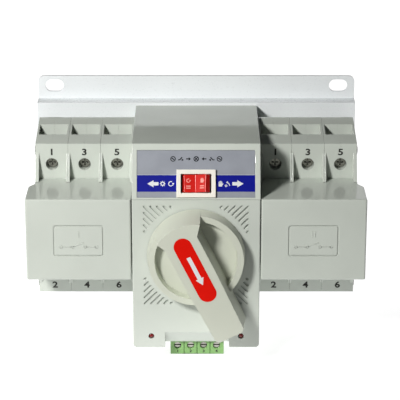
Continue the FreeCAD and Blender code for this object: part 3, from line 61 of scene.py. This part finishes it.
MM = 0.001
TERMINAL_FACE = -61.0 * MM        # front of the breakers' terminal steps
BLOCK_PITCH = 7.2 * MM            # from one control terminal to the next
BLOCK_NUMBER_Z = -70.2 * MM       # middle of the numbers under the control terminals' screws
BLOCK_NUMBER_HEIGHT = 1.5 * MM
POLE_NUMBER_Z = {"top": 37.7 * MM, "bottom": -40.6 * MM}
POLE_NUMBER_HEIGHT = 3.6 * MM
BAND = (-4.3 * MM, 4.6 * MM)      # foot and head of the label's blue band, from the rocker's centre
BAND_LINE = (4.75 * MM, 5.0 * MM)  # the silver line above the band
BAND_OPENING = 9.7 * MM           # half of the gap that the rocker leaves in them
ARROW_AT = (-23.1 * MM, 22.4 * MM)  # middles of the band's arrows
SIGN_ROW = 13.4 * MM              # height of the circuit signs over the rocker's centre
SIGN_PITCH = 4.15 * MM
SIGN_SIZE = 2.9 * MM
ROCKER_SIGN_SIZE = 2.6 * MM
ROCKER_SIGN_AT = (3.8 * MM, 1.6 * MM)  # from the rocker's bend, and over its centre
ROCKER_BAR_LENGTH = 2.4 * MM
COVER_MARK_X = 63.3 * MM          # middle of the covers' sunk frames
COVER_MARK_Z = -1.0 * MM
HANDLE_ARROW_SHIFT = 0.6 * MM     # from the badge's middle towards the handle's tip
LABEL_SUNK = 0.4 * MM             # the printed plate lies this far behind the hood's face
ROCKER_PIVOT = 0.6 * MM           # the rocker's pivot lies this far behind the hood's face
ROCKER_LEAN = math.radians(-12)   # the rocker's turn about its pivot, at rest
ROCKER_BEND = math.atan2(1.3, 5.9)  # each half of the rocker slopes up by this from its middle
ROCKER_MIDDLE = 1.5 * MM          # height of the bend over the pivot
HANDLE_ANGLE = math.radians(26.4)  # the pointer's lean from straight down
INK = 0.04 * MM                   # how proud print stands
EMBOSS = 0.14 * MM                # how proud moulded marks stand
NUMBER_WEIGHT = 0.04              # how much numerals are fattened, as a share of their height
NUMBER_WIDTH = 1.22               # how much numerals are widened


# ---------------------------------------------------------------- colour and nodes

def tone(red, green, blue):
    """A display colour, 0 to 255, as the linear colour that nodes take."""
    def linear(level):
        share = level / 255
        if share <= 0.04045:
            return share / 12.92
        return ((share + 0.055) / 1.055) ** 2.4
    return (linear(red), linear(green), linear(blue), 1.0)


def shaded(colour, factor):
    return tuple(channel * factor for channel in colour[:3]) + (1.0,)


class Shader:
    """One material and the few kinds of node that the finishes are made of."""

    def __init__(self, name):
        self.material = bpy.data.materials.new(name)
        self.material.use_nodes = True
        self.tree = self.material.node_tree
        self.tree.nodes.clear()
        self.surface = self.add("BsdfPrincipled")
        output = self.add("OutputMaterial")
        self.join(self.surface.outputs["BSDF"], output.inputs["Surface"])
        self.place = self.add("TexCoord").outputs["Object"]

    def add(self, kind, **settings):
        node = self.tree.nodes.new("ShaderNode" + kind)
        for key, setting in settings.items():
            setattr(node, key, setting)
        return node

    def join(self, start, end):
        self.tree.links.new(start, end)

    def give(self, end, source):
        """Set an input from a number or colour, or link it to an output."""
        if isinstance(source, bpy.types.NodeSocket):
            self.join(source, end)
        else:
            end.default_value = source

    def stretched(self, ratio):
        """Object coordinates, scaled so that a texture is drawn out along one axis."""
        mapping = self.add("Mapping")
        mapping.inputs["Scale"].default_value = ratio
        self.join(self.place, mapping.inputs["Vector"])
        return mapping.outputs["Vector"]

    def noise(self, size, detail=2.0, ratio=None):
        """Smooth noise, 0 to 1, whose features are about this many metres across."""
        node = self.add("TexNoise")
        node.inputs["Scale"].default_value = 1 / size
        node.inputs["Detail"].default_value = detail
        self.join(self.stretched(ratio) if ratio else self.place, node.inputs["Vector"])
        return node.outputs["Fac"]

    def cells(self, size):
        node = self.add("TexVoronoi")
        node.inputs["Scale"].default_value = 1 / size
        self.join(self.place, node.inputs["Vector"])
        return node.outputs["Distance"]

    def remap(self, source, start, end, low=0.0, high=1.0):
        node = self.add("MapRange")
        self.give(node.inputs["Value"], source)
        for socket, number in zip(("From Min", "From Max", "To Min", "To Max"), (start, end, low, high)):
            node.inputs[socket].default_value = number
        return node.outputs["Result"]

    def maths(self, operation, first, second):
        node = self.add("Math", operation=operation)
        self.give(node.inputs[0], first)
        self.give(node.inputs[1], second)
        return node.outputs["Value"]

    def blend(self, share, first, second):
        """Mix two colours by a share from 0 to 1."""
        node = self.add("Mix", data_type="RGBA")
        self.give(node.inputs[0], share)
        self.give(node.inputs[6], first)
        self.give(node.inputs[7], second)
        return node.outputs[2]

    def rounded(self, radius):
        """Surface normal as if every edge had this radius."""
        node = self.add("Bevel", samples=6)
        node.inputs["Radius"].default_value = radius
        return node.outputs["Normal"]

    def edges(self, radius):
        """1 on outer and inner edges, falling to 0 away from them."""
        dot = self.add("VectorMath", operation="DOT_PRODUCT")
        self.join(self.rounded(radius), dot.inputs[0])
        self.join(self.add("NewGeometry").outputs["Normal"], dot.inputs[1])
        return self.remap(dot.outputs["Value"], 0.95, 0.75)

    def creases(self, reach):
        """1 deep in corners and clefts, 0 in the open; the mask for painted shade."""
        node = self.add("AmbientOcclusion", samples=6)
        node.inputs["Distance"].default_value = reach
        return self.remap(node.outputs["AO"], 0.85, 0.15)

    def relief(self, height, depth, normal=None):
        node = self.add("Bump")
        node.inputs["Distance"].default_value = depth
        self.join(height, node.inputs["Height"])
        if normal is not None:
            self.join(normal, node.inputs["Normal"])
        self.join(node.outputs["Normal"], self.surface.inputs["Normal"])

    def set(self, **inputs):
        for key, source in inputs.items():
            self.give(self.surface.inputs[key.replace("_", " ")], source)


# ---------------------------------------------------------------- finishes

def moulded(name, colour, gloss, grain=0.35 * MM, depth=0.006 * MM, round_off=0.35 * MM, wear=1.0):
    """Injection-moulded plastic: fine spark texture, flow marks, rubbed edges, painted shade in corners."""
    shader = Shader(name)
    flow = shader.noise(26 * MM, 3.0)
    speck = shader.noise(grain, 2.0)
    streak = shader.noise(5 * MM, 4.0, (1.0, 1.0, 0.35))
    base = shader.blend(shader.remap(flow, 0.3, 0.7), shaded(colour, 0.965), shaded(colour, 1.025))
    base = shader.blend(shader.remap(speck, 0.35, 0.75, 0.0, 0.10), base, shaded(colour, 0.86))
    patches = shader.remap(streak, 0.35, 0.7, 0.1 * wear, 0.55 * wear)
    rubbed = shader.maths("MULTIPLY", shader.edges(0.5 * MM), patches)
    base = shader.blend(rubbed, base, shaded(colour, 1.16))
    # painted shade: the colour darkens in corners and creases where occlusion finds shade
    painted_crease_shade = shader.maths("MULTIPLY", shader.creases(2.5 * MM), 0.35)
    base = shader.blend(painted_crease_shade, base, shaded(colour, 0.55))
    rough = shader.remap(shader.maths("ADD", flow, streak), 0.6, 1.4, gloss - 0.04, gloss + 0.06)
    shader.set(Base_Color=base, Roughness=rough, IOR=1.5)
    shader.relief(speck, depth, shader.rounded(round_off))
    return shader.material


def powder_coat():
    """White powder-coated sheet with orange peel, and a few grey scuffs."""
    shader = Shader("powder_coat")
    colour = tone(239, 243, 245)
    peel = shader.noise(0.9 * MM, 1.5)
    cloud = shader.noise(30 * MM, 2.0)
    scuff = shader.remap(shader.noise(2.2 * MM, 5.0, (0.5, 1.0, 1.4)), 0.70, 0.78, 0.0, 0.35)
    base = shader.blend(shader.remap(cloud, 0.3, 0.7), shaded(colour, 0.97), colour)
    base = shader.blend(scuff, base, tone(176, 182, 186))
    worn = shader.maths("MULTIPLY", shader.edges(0.5 * MM), shader.remap(cloud, 0.45, 0.6, 0.0, 0.35))
    base = shader.blend(worn, base, tone(196, 200, 204))
    shader.set(Base_Color=base, Roughness=shader.remap(peel, 0.3, 0.7, 0.26, 0.36))
    shader.relief(peel, 0.012 * MM, shader.rounded(0.4 * MM))
    return shader.material


def metal(name, colour, gloss, ratio=(1.0, 1.0, 1.0), grain=0.5 * MM, stain=0.12):
    """Plated or bare metal: rolling or turning lines, tarnish clouds, painted highlights on the edges, painted
    shade in the corners.
    """
    shader = Shader(name)
    lines = shader.noise(grain, 3.0, ratio)
    cloud = shader.noise(6 * MM, 4.0)
    base = shader.blend(shader.remap(lines, 0.3, 0.7), shaded(colour, 0.86), shaded(colour, 1.08))
    base = shader.blend(shader.remap(cloud, 0.42, 0.75, 0.0, stain * 4), base, shaded(colour, 0.6))
    # painted highlight: edges are drawn brighter, as if they caught the light
    base = shader.blend(shader.maths("MULTIPLY", shader.edges(0.25 * MM), 0.5), base, shaded(colour, 1.3))
    # painted shade: corners and clefts turn nearly black where occlusion finds shade
    painted_gap_shade = shader.maths("MULTIPLY", shader.creases(1.6 * MM), 0.85)
    base = shader.blend(painted_gap_shade, base, shaded(colour, 0.08))
    rough = shader.remap(shader.maths("ADD", lines, cloud), 0.6, 1.4, gloss - 0.07, gloss + 0.10)
    shader.set(Base_Color=base, Metallic=1.0, Roughness=rough)
    shader.relief(lines, 0.004 * MM, shader.rounded(0.15 * MM))
    return shader.material


def printed(name, colour, gloss=0.45, shine=0.12):
    """Screen-printed film: faint halftone grain and a slight wash of tone."""
    shader = Shader(name)
    dots = shader.cells(0.28 * MM)
    wash = shader.noise(9 * MM, 2.0)
    base = shader.blend(shader.remap(wash, 0.3, 0.7), shaded(colour, 0.94), shaded(colour, 1.05))
    base = shader.blend(shader.remap(dots, 0.1, 0.7, 0.0, 0.12), base, shaded(colour, 0.8))
    shader.set(Base_Color=base, Roughness=shader.remap(dots, 0.0, 0.8, gloss - 0.03, gloss + 0.05),
               Specular_IOR_Level=shine)
    shader.relief(dots, 0.002 * MM)
    return shader.material


def lacquered_board():
    """Solder mask over copper: traces show as lighter bars."""
    shader = Shader("circuit_board_mask")
    tracks = shader.remap(shader.noise(2.5 * MM, 0.0, (1.0, 0.15, 1.0)), 0.5, 0.53)
    base = shader.blend(tracks, tone(22, 78, 40), tone(48, 122, 66))
    shader.set(Base_Color=base, Roughness=0.3)
    shader.relief(tracks, 0.03 * MM)
    return shader.material


def laminated_core():
    """Varnished transformer laminations: fine stacked lines along the depth."""
    shader = Shader("laminated_core")
    stack = shader.noise(0.5 * MM, 1.0, (0.02, 1.0, 0.02))
    base = shader.blend(shader.remap(stack, 0.4, 0.6), tone(54, 54, 58), tone(98, 96, 98))
    shader.set(Base_Color=base, Metallic=0.6, Roughness=0.45)
    shader.relief(stack, 0.05 * MM)
    return shader.material


def lamp_lens():
    """Tinted red lens of an unlit lamp, with a cloudy core."""
    shader = Shader("lamp_lens")
    cloud = shader.noise(0.8 * MM, 2.0)
    base = shader.blend(shader.remap(cloud, 0.3, 0.7), tone(112, 10, 12), tone(170, 26, 24))
    shader.set(Base_Color=base, Roughness=0.12, Transmission_Weight=0.35, Coat_Weight=0.6)
    shader.relief(cloud, 0.004 * MM)
    return shader.material


def make_finishes():
    """One material for each slot of the record, and a warmer, duller one for the handle."""
    return {
        "painted_plate": powder_coat(),
        "zinc_steel": metal("zinc_plate", tone(188, 192, 196), 0.34, (0.2, 1.0, 1.0)),
        "screw_steel": metal("screw_zinc", tone(172, 174, 174), 0.20, grain=0.3 * MM),
        "shell_plastic": moulded("shell_plastic", tone(202, 208, 200), 0.08, depth=0.002 * MM),
        "handle_plastic": moulded("handle_plastic", tone(205, 209, 195), 0.44,
                                  round_off=0.12 * MM, wear=0.0),
        "breaker_plastic": moulded("breaker_plastic", tone(203, 209, 201), 0.11),
        "label_print": printed("label_film", tone(148, 152, 161)),
        "bezel_plastic": moulded("bezel_plastic", tone(240, 237, 227), 0.22, depth=0.002 * MM),
        "rocker_red": moulded("rocker_plastic", tone(206, 26, 18), 0.20, depth=0.002 * MM),
        "brass": metal("brass", tone(205, 170, 98), 0.28),
        "label_red": printed("sticker_film", tone(222, 16, 2)),
        "drive_steel": metal("drive_steel", tone(164, 167, 171), 0.32, (1.0, 1.0, 0.15)),
        "gear_plastic": moulded("gear_nylon", tone(232, 227, 210), 0.38),
        "motor_can": metal("motor_can", tone(160, 163, 168), 0.25, (1.0, 0.1, 1.0)),
        "board_green": lacquered_board(),
        "relay_plastic": moulded("relay_plastic", tone(34, 38, 44), 0.28),
        "core_steel": laminated_core(),
        "lamp_red": lamp_lens(),
        "terminal_green": moulded("terminal_plastic", tone(128, 172, 104), 0.32),
        "terminal_steel": metal("nickel", tone(186, 184, 176), 0.24, grain=0.4 * MM, stain=0.2),
        "toggle_plastic": moulded("toggle_plastic", tone(36, 36, 38), 0.34),
        "copper": metal("copper", tone(196, 124, 88), 0.30, (1.0, 1.0, 0.2)),
        "chute_steel": metal("chute_steel", tone(150, 132, 120), 0.36),
    }


# ---------------------------------------------------------------- CAD nodes

# how far the crisp edges of these nodes are rounded, in millimetres
SOFT_EDGE = {
    "hood": 0.45, "lower_housing": 0.4, "base_plate": 0.3, "rocker_bezel": 0.35, "rocker_button": 0.25,
    "terminal_block": 0.3,
}


def soften(node, width):
    """Round the crisp edges of a CAD node a little, without touching its mesh."""
    weld = node.modifiers.new("weld", "WELD")
    weld.merge_threshold = 0.002 * MM
    flat = node.modifiers.new("flat", "DECIMATE")
    flat.decimate_type = "DISSOLVE"
    flat.angle_limit = math.radians(0.5)
    bevel = node.modifiers.new("bevel", "BEVEL")
    bevel.width = width
    bevel.segments = 2
    bevel.limit_method = "ANGLE"
    bevel.angle_limit = math.radians(35)
    bevel.use_clamp_overlap = True
    bevel.harden_normals = True


def dress_nodes(finishes):
    """Give every CAD node the finish of its slot."""
    slots = {row["node"]: row["material_slot"] for row in frame["record"]["subparts"]}
    for name, node in frame["nodes"].items():
        node.data.materials.clear()
        node.data.materials.append(finishes["handle_plastic" if name == "handle" else slots[name]])
        if name in SOFT_EDGE:
            soften(node, SOFT_EDGE[name] * MM)


# ---------------------------------------------------------------- drawing on faces

def face_matrix(origin, right, up):
    """Local X to the right and Y up on a face, Z out of it."""
    right, up = Vector(right).normalized(), Vector(up).normalized()
    out = right.cross(up)
    rows = Matrix((right, up, out)).transposed().to_4x4()
    return Matrix.Translation(Vector(origin)) @ rows


def add_mesh(name, mesh, matrix, material, body):
    """Put a drawn mesh in the scene, riding on a CAD body."""
    mesh.transform(matrix)
    mesh.materials.clear()
    mesh.materials.append(material)
    piece = bpy.data.objects.new(name, mesh)
    bpy.context.scene.collection.objects.link(piece)
    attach(piece, body)
    return piece


def extruded(outlines, low, high):
    """Closed thin prisms, one for each outline, between two heights."""
    shape = bmesh.new()
    for outline in outlines:
        bottom = [shape.verts.new((x, y, low)) for x, y in outline]
        top = [shape.verts.new((x, y, high)) for x, y in outline]
        shape.faces.new(top)
        shape.faces.new(list(reversed(bottom)))
        count = len(outline)
        for number in range(count):
            after = (number + 1) % count
            shape.faces.new((bottom[number], bottom[after], top[after], top[number]))
    bmesh.ops.recalc_face_normals(shape, faces=shape.faces)
    mesh = bpy.data.meshes.new("drawn")
    shape.to_mesh(mesh)
    shape.free()
    return mesh


def stroke(points, width, closed=False):
    """The outlines of a line of this width: one four-sided piece for each run, mitred."""
    count = len(points)
    spots = [Vector(point) for point in points]
    sides = []
    for number in range(count):
        before = spots[number - 1] if closed or number else None
        after = spots[(number + 1) % count] if closed or number < count - 1 else None
        way_in = (spots[number] - before).normalized() if before is not None else None
        way_out = (after - spots[number]).normalized() if after is not None else way_in
        way_in = way_in if way_in is not None else way_out
        middle = (way_in + way_out).normalized()
        across = Vector((-middle.y, middle.x))
        stretch = max(0.5, across.dot(Vector((-way_in.y, way_in.x))))
        reach = across * (width / 2 / stretch)
        sides.append((spots[number] + reach, spots[number] - reach))
    runs = count if closed else count - 1
    pieces = []
    for number in range(runs):
        left, right = sides[number]
        next_left, next_right = sides[(number + 1) % count]
        pieces.append([tuple(right), tuple(next_right), tuple(next_left), tuple(left)])
    return pieces


def arc(centre, radius, start, end, steps=16):
    """Points along an arc, angles in degrees anticlockwise from +X."""
    angles = [math.radians(start + (end - start) * step / steps) for step in range(steps + 1)]
    return [(centre[0] + radius * math.cos(angle), centre[1] + radius * math.sin(angle))
            for angle in angles]


def moved(outlines, x, y, scale=1.0):
    return [[(x + a * scale, y + b * scale) for a, b in outline] for outline in outlines]


def box_outline(x, y, corner=0.0):
    """A rectangle between two X and two Y values, with rounded corners if asked."""
    if not corner:
        return [(x[0], y[0]), (x[1], y[0]), (x[1], y[1]), (x[0], y[1])]
    spots = ((x[1] - corner, y[1] - corner, 0), (x[0] + corner, y[1] - corner, 90),
             (x[0] + corner, y[0] + corner, 180), (x[1] - corner, y[0] + corner, 270))
    return [point for a, b, turn in spots for point in arc((a, b), corner, turn, turn + 90, 5)]


def arrow_outline(length, shaft, head, head_length):
    """An arrow along +X, centred on its own length."""
    tail, neck, tip = -length / 2, length / 2 - head_length, length / 2
    return [(tail, -shaft / 2), (neck, -shaft / 2), (neck, -head / 2), (tip, 0), (neck, head / 2),
            (neck, shaft / 2), (tail, shaft / 2)]


def digits(name, text, height, matrix, material, body):
    """Printed numerals, centred on the matrix's origin."""
    curve = bpy.data.curves.new(name, "FONT")
    curve.body = text
    curve.align_x = "CENTER"
    curve.align_y = "CENTER"
    curve.size = height / 0.72
    curve.extrude = INK / 2
    curve.offset = height * NUMBER_WEIGHT
    curve.resolution_u = 4
    holder = bpy.data.objects.new(name, curve)
    mesh = bpy.data.meshes.new_from_object(holder)
    bpy.data.objects.remove(holder)
    mesh.transform(Matrix.Translation((0, 0, INK / 2)) @ Matrix.Diagonal((NUMBER_WIDTH, 1.0, 1.0, 1.0)))
    return add_mesh(name, mesh, matrix, material, body)


# ---------------------------------------------------------------- pictograms, one unit across

def cycle_sign():
    """Automatic: a ring broken by an arrowhead."""
    ring = stroke(arc((0, 0), 0.36, 60, 350), 0.13)
    head = [(0.18, 0.10), (0.55, 0.10), (0.37, -0.20)]
    return ring + [head]


def cog_sign():
    """Motor drive: a toothed ring."""
    ring = stroke(arc((0, 0), 0.27, 0, 360, 24)[:-1], 0.15, closed=True)
    teeth = []
    for step in range(8):
        angle = math.radians(45 * step)
        along = Vector((math.cos(angle), math.sin(angle)))
        across = Vector((-math.sin(angle), math.cos(angle)))
        corners = ((0.32, -0.08), (0.48, -0.06), (0.48, 0.06), (0.32, 0.08))
        teeth.append([tuple(along * a + across * b) for a, b in corners])
    return ring + teeth


def hand_sign():
    """By hand: a palm, four fingers and a thumb."""
    fingers = [box_outline((x, x + 0.13), (-0.05, top), 0.05)
               for x, top in ((-0.32, 0.34), (-0.15, 0.48), (0.02, 0.50), (0.19, 0.38))]
    palm = box_outline((-0.32, 0.32), (-0.48, 0.06), 0.12)
    thumb = stroke([(0.26, -0.30), (0.48, 0.06)], 0.14)
    return fingers + [palm] + thumb


def turn_sign():
    """A quarter turn with an arrowhead."""
    bend = stroke(arc((-0.34, -0.36), 0.62, 0, 68), 0.14)
    head = [(-0.02, 0.48), (-0.36, 0.20), (-0.02, 0.04)]
    return bend + [head] + stroke(arc((-0.34, -0.36), 0.16, 0, 360, 12)[:-1], 0.10, closed=True)


def source_sign():
    """Supply: a ring round a wave."""
    ring = stroke(arc((0, 0), 0.43, 0, 360, 24)[:-1], 0.15, closed=True)
    wave = [(-0.24 + 0.48 * step / 10, 0.13 * math.sin(2 * math.pi * step / 10)) for step in range(11)]
    return ring + stroke(wave, 0.16)


def contact_sign():
    """Switch contact: two leads and a slanting arm."""
    return (stroke([(-0.5, -0.18), (-0.2, -0.18)], 0.19) + stroke([(-0.2, -0.18), (0.24, 0.32)], 0.19)
            + stroke([(0.24, -0.18), (0.5, -0.18)], 0.19) + stroke([(0.24, -0.38), (0.24, 0.02)], 0.16))


def load_sign():
    """Load: a ring with a cross."""
    ring = stroke(arc((0, 0), 0.43, 0, 360, 24)[:-1], 0.15, closed=True)
    cross = stroke([(-0.28, -0.28), (0.28, 0.28)], 0.15) + stroke([(-0.28, 0.28), (0.28, -0.28)], 0.15)
    return ring + cross


def way_sign(direction):
    outline = [arrow_outline(0.9, 0.20, 0.62, 0.42)]
    return [[(x * direction, y) for x, y in shape] for shape in outline]


# ---------------------------------------------------------------- marks on the object

def joint_of(name):
    return next(joint for joint in frame["joints"] if joint["name"] == name)


def breaker_numbers(ink):
    """1 3 5 above and 2 4 6 below, one number over each pole."""
    mounts = {mount["name"]: mount for mount in frame["record"]["mounts"]}
    for side in ("left", "right"):
        for pole in range(3):
            x = mounts["%s_pole_%d_top_wire" % (side, pole + 1)]["pos_m"][0]
            for row, z in POLE_NUMBER_Z.items():
                number = 2 * pole + (1 if row == "top" else 2)
                matrix = face_matrix((x, TERMINAL_FACE, z), (1, 0, 0), (0, 0, 1))
                digits("%s_number_%d" % (side, number), str(number), POLE_NUMBER_HEIGHT, matrix,
                       ink, "root")


def block_numbers(ink):
    """1 to 4 under the screws of the control terminals."""
    mounts = {mount["name"]: mount for mount in frame["record"]["mounts"]}
    middle = mounts["control_terminals"]["pos_m"][0]
    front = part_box("terminal_block")[0].y
    for way in range(4):
        x = middle + (way - 1.5) * BLOCK_PITCH
        matrix = face_matrix((x, front, BLOCK_NUMBER_Z), (1, 0, 0), (0, 0, 1))
        digits("control_number_%d" % (way + 1), str(way + 1), BLOCK_NUMBER_HEIGHT, matrix, ink,
               "root")


def slope_matrix():
    """The printed plate's face, with its origin at the rocker's centre."""
    hinge = joint_of("rocker_tilt")
    up = Vector(hinge["axis"])
    right = Vector((1, 0, 0))
    out = right.cross(up)
    return face_matrix(Vector(hinge["pos_m"]) + out * (ROCKER_PIVOT - LABEL_SUNK), right, up)


def label_print(white, black):
    """Blue band with arrows and pictograms, and a row of circuit signs above it."""
    matrix = slope_matrix()
    blue = printed("blue_ink", tone(0, 12, 138))
    silver = printed("silver_ink", tone(176, 181, 190))
    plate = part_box("label_plate")[1].x
    for name, span, ink in (("label_band", BAND, blue), ("label_band_lines", BAND_LINE, silver)):
        halves = [box_outline((-plate, -BAND_OPENING), span), box_outline((BAND_OPENING, plate), span)]
        add_mesh(name, extruded(halves, 0, INK), matrix, ink, "root")
    arrow = [arrow_outline(6.0 * MM, 1.8 * MM, 3.8 * MM, 3.3 * MM)]
    signs = moved([[(-x, y) for x, y in arrow[0]]], ARROW_AT[0], 0) + moved(arrow, ARROW_AT[1], 0)
    signs += moved(cog_sign(), -17.9 * MM, 0, 3.1 * MM) + moved(cycle_sign(), -13.5 * MM, 0, 3.3 * MM)
    signs += moved(hand_sign(), 13.0 * MM, 0, 3.1 * MM) + moved(turn_sign(), 17.1 * MM, 0, 3.1 * MM)
    add_mesh("label_band_signs", extruded(signs, INK, INK * 2), matrix, white, "root")
    row = [source_sign(), contact_sign(), way_sign(1), load_sign(), way_sign(-1),
           [[(-x, y) for x, y in shape] for shape in contact_sign()], source_sign()]
    shapes = []
    for number, sign in enumerate(row):
        shapes += moved(sign, (number - 3) * SIGN_PITCH + 0.1 * MM, SIGN_ROW, SIGN_SIZE)
    add_mesh("label_circuit_signs", extruded(shapes, 0, INK), matrix, black, "root")


def rocker_marks(pale):
    """Pictograms for automatic and by hand on the two halves of the rocker."""
    hinge = joint_of("rocker_tilt")
    up = Vector(hinge["axis"])
    out = Vector((1, 0, 0)).cross(up)
    for name, side, sign in (("automatic", -1, cycle_sign()), ("by_hand", 1, hand_sign())):
        turn = Matrix.Rotation(ROCKER_LEAN, 3, up)
        right = turn @ Matrix.Rotation(-ROCKER_BEND * side, 3, up) @ Vector((1, 0, 0))
        base = Vector(hinge["pos_m"]) + turn @ (out * ROCKER_MIDDLE)
        matrix = face_matrix(base, right, up)
        across = side * ROCKER_SIGN_AT[0]
        shapes = moved(sign, across, ROCKER_SIGN_AT[1], ROCKER_SIGN_SIZE)
        for height in (-1.4 * MM, -2.5 * MM):
            shapes += moved([box_outline((-0.5, 0.5), (-0.10, 0.10))], across, height, ROCKER_BAR_LENGTH)
        add_mesh("rocker_mark_" + name, extruded(shapes, 0, INK), matrix, pale, "rocker")


def handle_arrow(white):
    """White arrow on the red badge, pointing along the handle to its tip."""
    low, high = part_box("handle_label")
    middle = (low + high) / 2
    tip = Vector((math.sin(HANDLE_ANGLE), 0, -math.cos(HANDLE_ANGLE)))
    up = Vector((0, -1, 0)).cross(tip)
    matrix = face_matrix((middle.x, low.y, middle.z), tip, up)
    shape = moved([arrow_outline(17.4 * MM, 2.2 * MM, 4.6 * MM, 4.0 * MM)], HANDLE_ARROW_SHIFT, 0)
    add_mesh("handle_arrow", extruded(shape, 0, INK), matrix, white, "dial")


def cover_marks(finishes):
    """Raised source numeral and contact diagram in the sunk frame of each cover."""
    for side, strokes in (("left", 1), ("right", 2)):
        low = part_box(side + "_front_cover")[0]
        x = math.copysign(COVER_MARK_X, low.x)
        matrix = face_matrix((x, low.y, COVER_MARK_Z), (1, 0, 0), (0, 0, 1))
        shapes = []
        for number in range(strokes):
            middle = (number - (strokes - 1) / 2) * 1.5 * MM
            shapes.append(box_outline((middle - 0.3 * MM, middle + 0.3 * MM), (2.2 * MM, 5.4 * MM)))
        lines = ([(-9.0, -3.4), (-3.4, -3.4)], [(-3.4, -3.4), (2.8, -0.9)], [(3.4, -3.4), (9.0, -3.4)])
        for line in lines:
            shapes += stroke([(a * MM, b * MM) for a, b in line], 0.5 * MM)
        for spot in (-9.6, -3.4, 3.4, 9.6):
            ring = arc((spot * MM, -3.4 * MM), 0.75 * MM, 0, 360, 16)[:-1]
            shapes += stroke(ring, 0.35 * MM, closed=True)
        add_mesh(side + "_cover_mark", extruded(shapes, -0.05 * MM, EMBOSS), matrix,
                 finishes["shell_plastic"], "root")


def make_marks(finishes):
    white = printed("white_ink", tone(226, 228, 230))
    black = printed("black_ink", tone(18, 19, 24))
    grey = printed("number_ink", tone(52, 52, 50))
    pale = printed("pale_ink", tone(244, 176, 166))
    breaker_numbers(grey)
    block_numbers(grey)
    label_print(white, black)
    rocker_marks(pale)
    handle_arrow(white)
    cover_marks(finishes)


# ---------------------------------------------------------------- studio

FLOOR_DIM = -0.19                 # Y where the floor's glow has faded, in front of the view
FLOOR_LIT = -0.14                 # Y from which it is nearly as bright as it gets
FLOOR_STEP = -0.06                # Y from which it rises again
FLOOR_FULL = 0.04                 # Y from which it is full
CAMERA_PLACE = (2.1 * MM, -1054.6 * MM, 352.1 * MM)
CAMERA_DIP = 19                   # degrees
CAMERA_LENS = 170.5


def add_floor():
    """Pale seamless floor just under the object, a light table that dims towards the front."""
    shape = bmesh.new()
    bmesh.ops.create_circle(shape, cap_ends=True, radius=5.0, segments=96)
    mesh = bpy.data.meshes.new("floor")
    shape.to_mesh(mesh)
    shape.free()
    floor = bpy.data.objects.new("floor", mesh)
    floor.location.z = cad_box[0].z - 0.2 * MM
    bpy.context.scene.collection.objects.link(floor)
    shader = Shader("floor_paper")
    wash = shader.noise(0.4, 2.0)
    split = shader.add("SeparateXYZ")
    shader.join(shader.place, split.inputs[0])
    lit = shader.remap(split.outputs["Y"], FLOOR_DIM, FLOOR_LIT)
    base = shader.blend(wash, tone(176, 176, 176), tone(182, 182, 182))
    base = shader.blend(lit, tone(120, 120, 120), base)
    glow = shader.maths("ADD", shader.remap(lit, 0.0, 1.0, 0.02, 0.84),
                        shader.remap(split.outputs["Y"], FLOOR_STEP, FLOOR_FULL, 0.0, 0.25))
    shader.set(Base_Color=base, Roughness=0.9, Emission_Color=(1, 1, 1, 1), Emission_Strength=glow)
    shader.relief(shader.noise(2 * MM), 0.01 * MM)
    mesh.materials.append(shader.material)


def add_lamp(name, direction, distance, size, power, tint=(1.0, 1.0, 1.0)):
    """A square soft box that looks at the object's middle."""
    data = bpy.data.lights.new(name, "AREA")
    data.shape = "SQUARE"
    data.size = size
    data.energy = power
    data.color = tint
    lamp = bpy.data.objects.new(name, data)
    middle = (cad_box[0] + cad_box[1]) / 2
    way = Vector(direction).normalized()
    lamp.location = middle + way * distance
    lamp.rotation_mode = "QUATERNION"
    lamp.rotation_quaternion = way.to_track_quat("Z", "Y")
    bpy.context.scene.collection.objects.link(lamp)


def add_world():
    """Dim room with a broad glow from the front left."""
    world = bpy.data.worlds.new("studio")
    world.use_nodes = True
    tree = world.node_tree
    tree.nodes.clear()
    coordinates = tree.nodes.new("ShaderNodeTexCoord")
    facing = tree.nodes.new("ShaderNodeVectorMath")
    facing.operation = "DOT_PRODUCT"
    facing.inputs[1].default_value = Vector((-0.75, -0.65, 0.1)).normalized()
    grade = tree.nodes.new("ShaderNodeMapRange")
    for socket, number in (("From Min", 0.2), ("From Max", 1.0), ("To Min", 0.02), ("To Max", 0.13)):
        grade.inputs[socket].default_value = number
    background = tree.nodes.new("ShaderNodeBackground")
    output = tree.nodes.new("ShaderNodeOutputWorld")
    background.inputs["Color"].default_value = (0.94, 0.97, 1.0, 1.0)
    tree.links.new(coordinates.outputs["Generated"], facing.inputs[0])
    tree.links.new(facing.outputs["Value"], grade.inputs["Value"])
    tree.links.new(grade.outputs["Result"], background.inputs["Strength"])
    tree.links.new(background.outputs["Background"], output.inputs["Surface"])
    bpy.context.scene.world = world


def add_camera():
    """Camera in front and above, looking down through a long lens."""
    data = bpy.data.cameras.new("camera")
    data.sensor_width = 36.0
    data.lens = CAMERA_LENS
    data.clip_start = 0.05
    data.clip_end = 20.0
    camera = bpy.data.objects.new("camera", data)
    camera.location = CAMERA_PLACE
    camera.rotation_euler = (math.radians(90 - CAMERA_DIP), 0, 0)
    bpy.context.scene.collection.objects.link(camera)
    bpy.context.scene.camera = camera


def make_studio():
    add_floor()
    add_lamp("key", (-0.60, -1.0, 0.74), 0.62, 0.09, 3.6, (1.0, 0.99, 0.965))
    add_lamp("rear_fill", (0.4, 1.0, 0.12), 1.8, 1.0, 3.0)
    add_world()
    add_camera()
    bpy.context.scene.view_settings.view_transform = "Standard"


finishes = make_finishes()
dress_nodes(finishes)
make_marks(finishes)
make_studio()
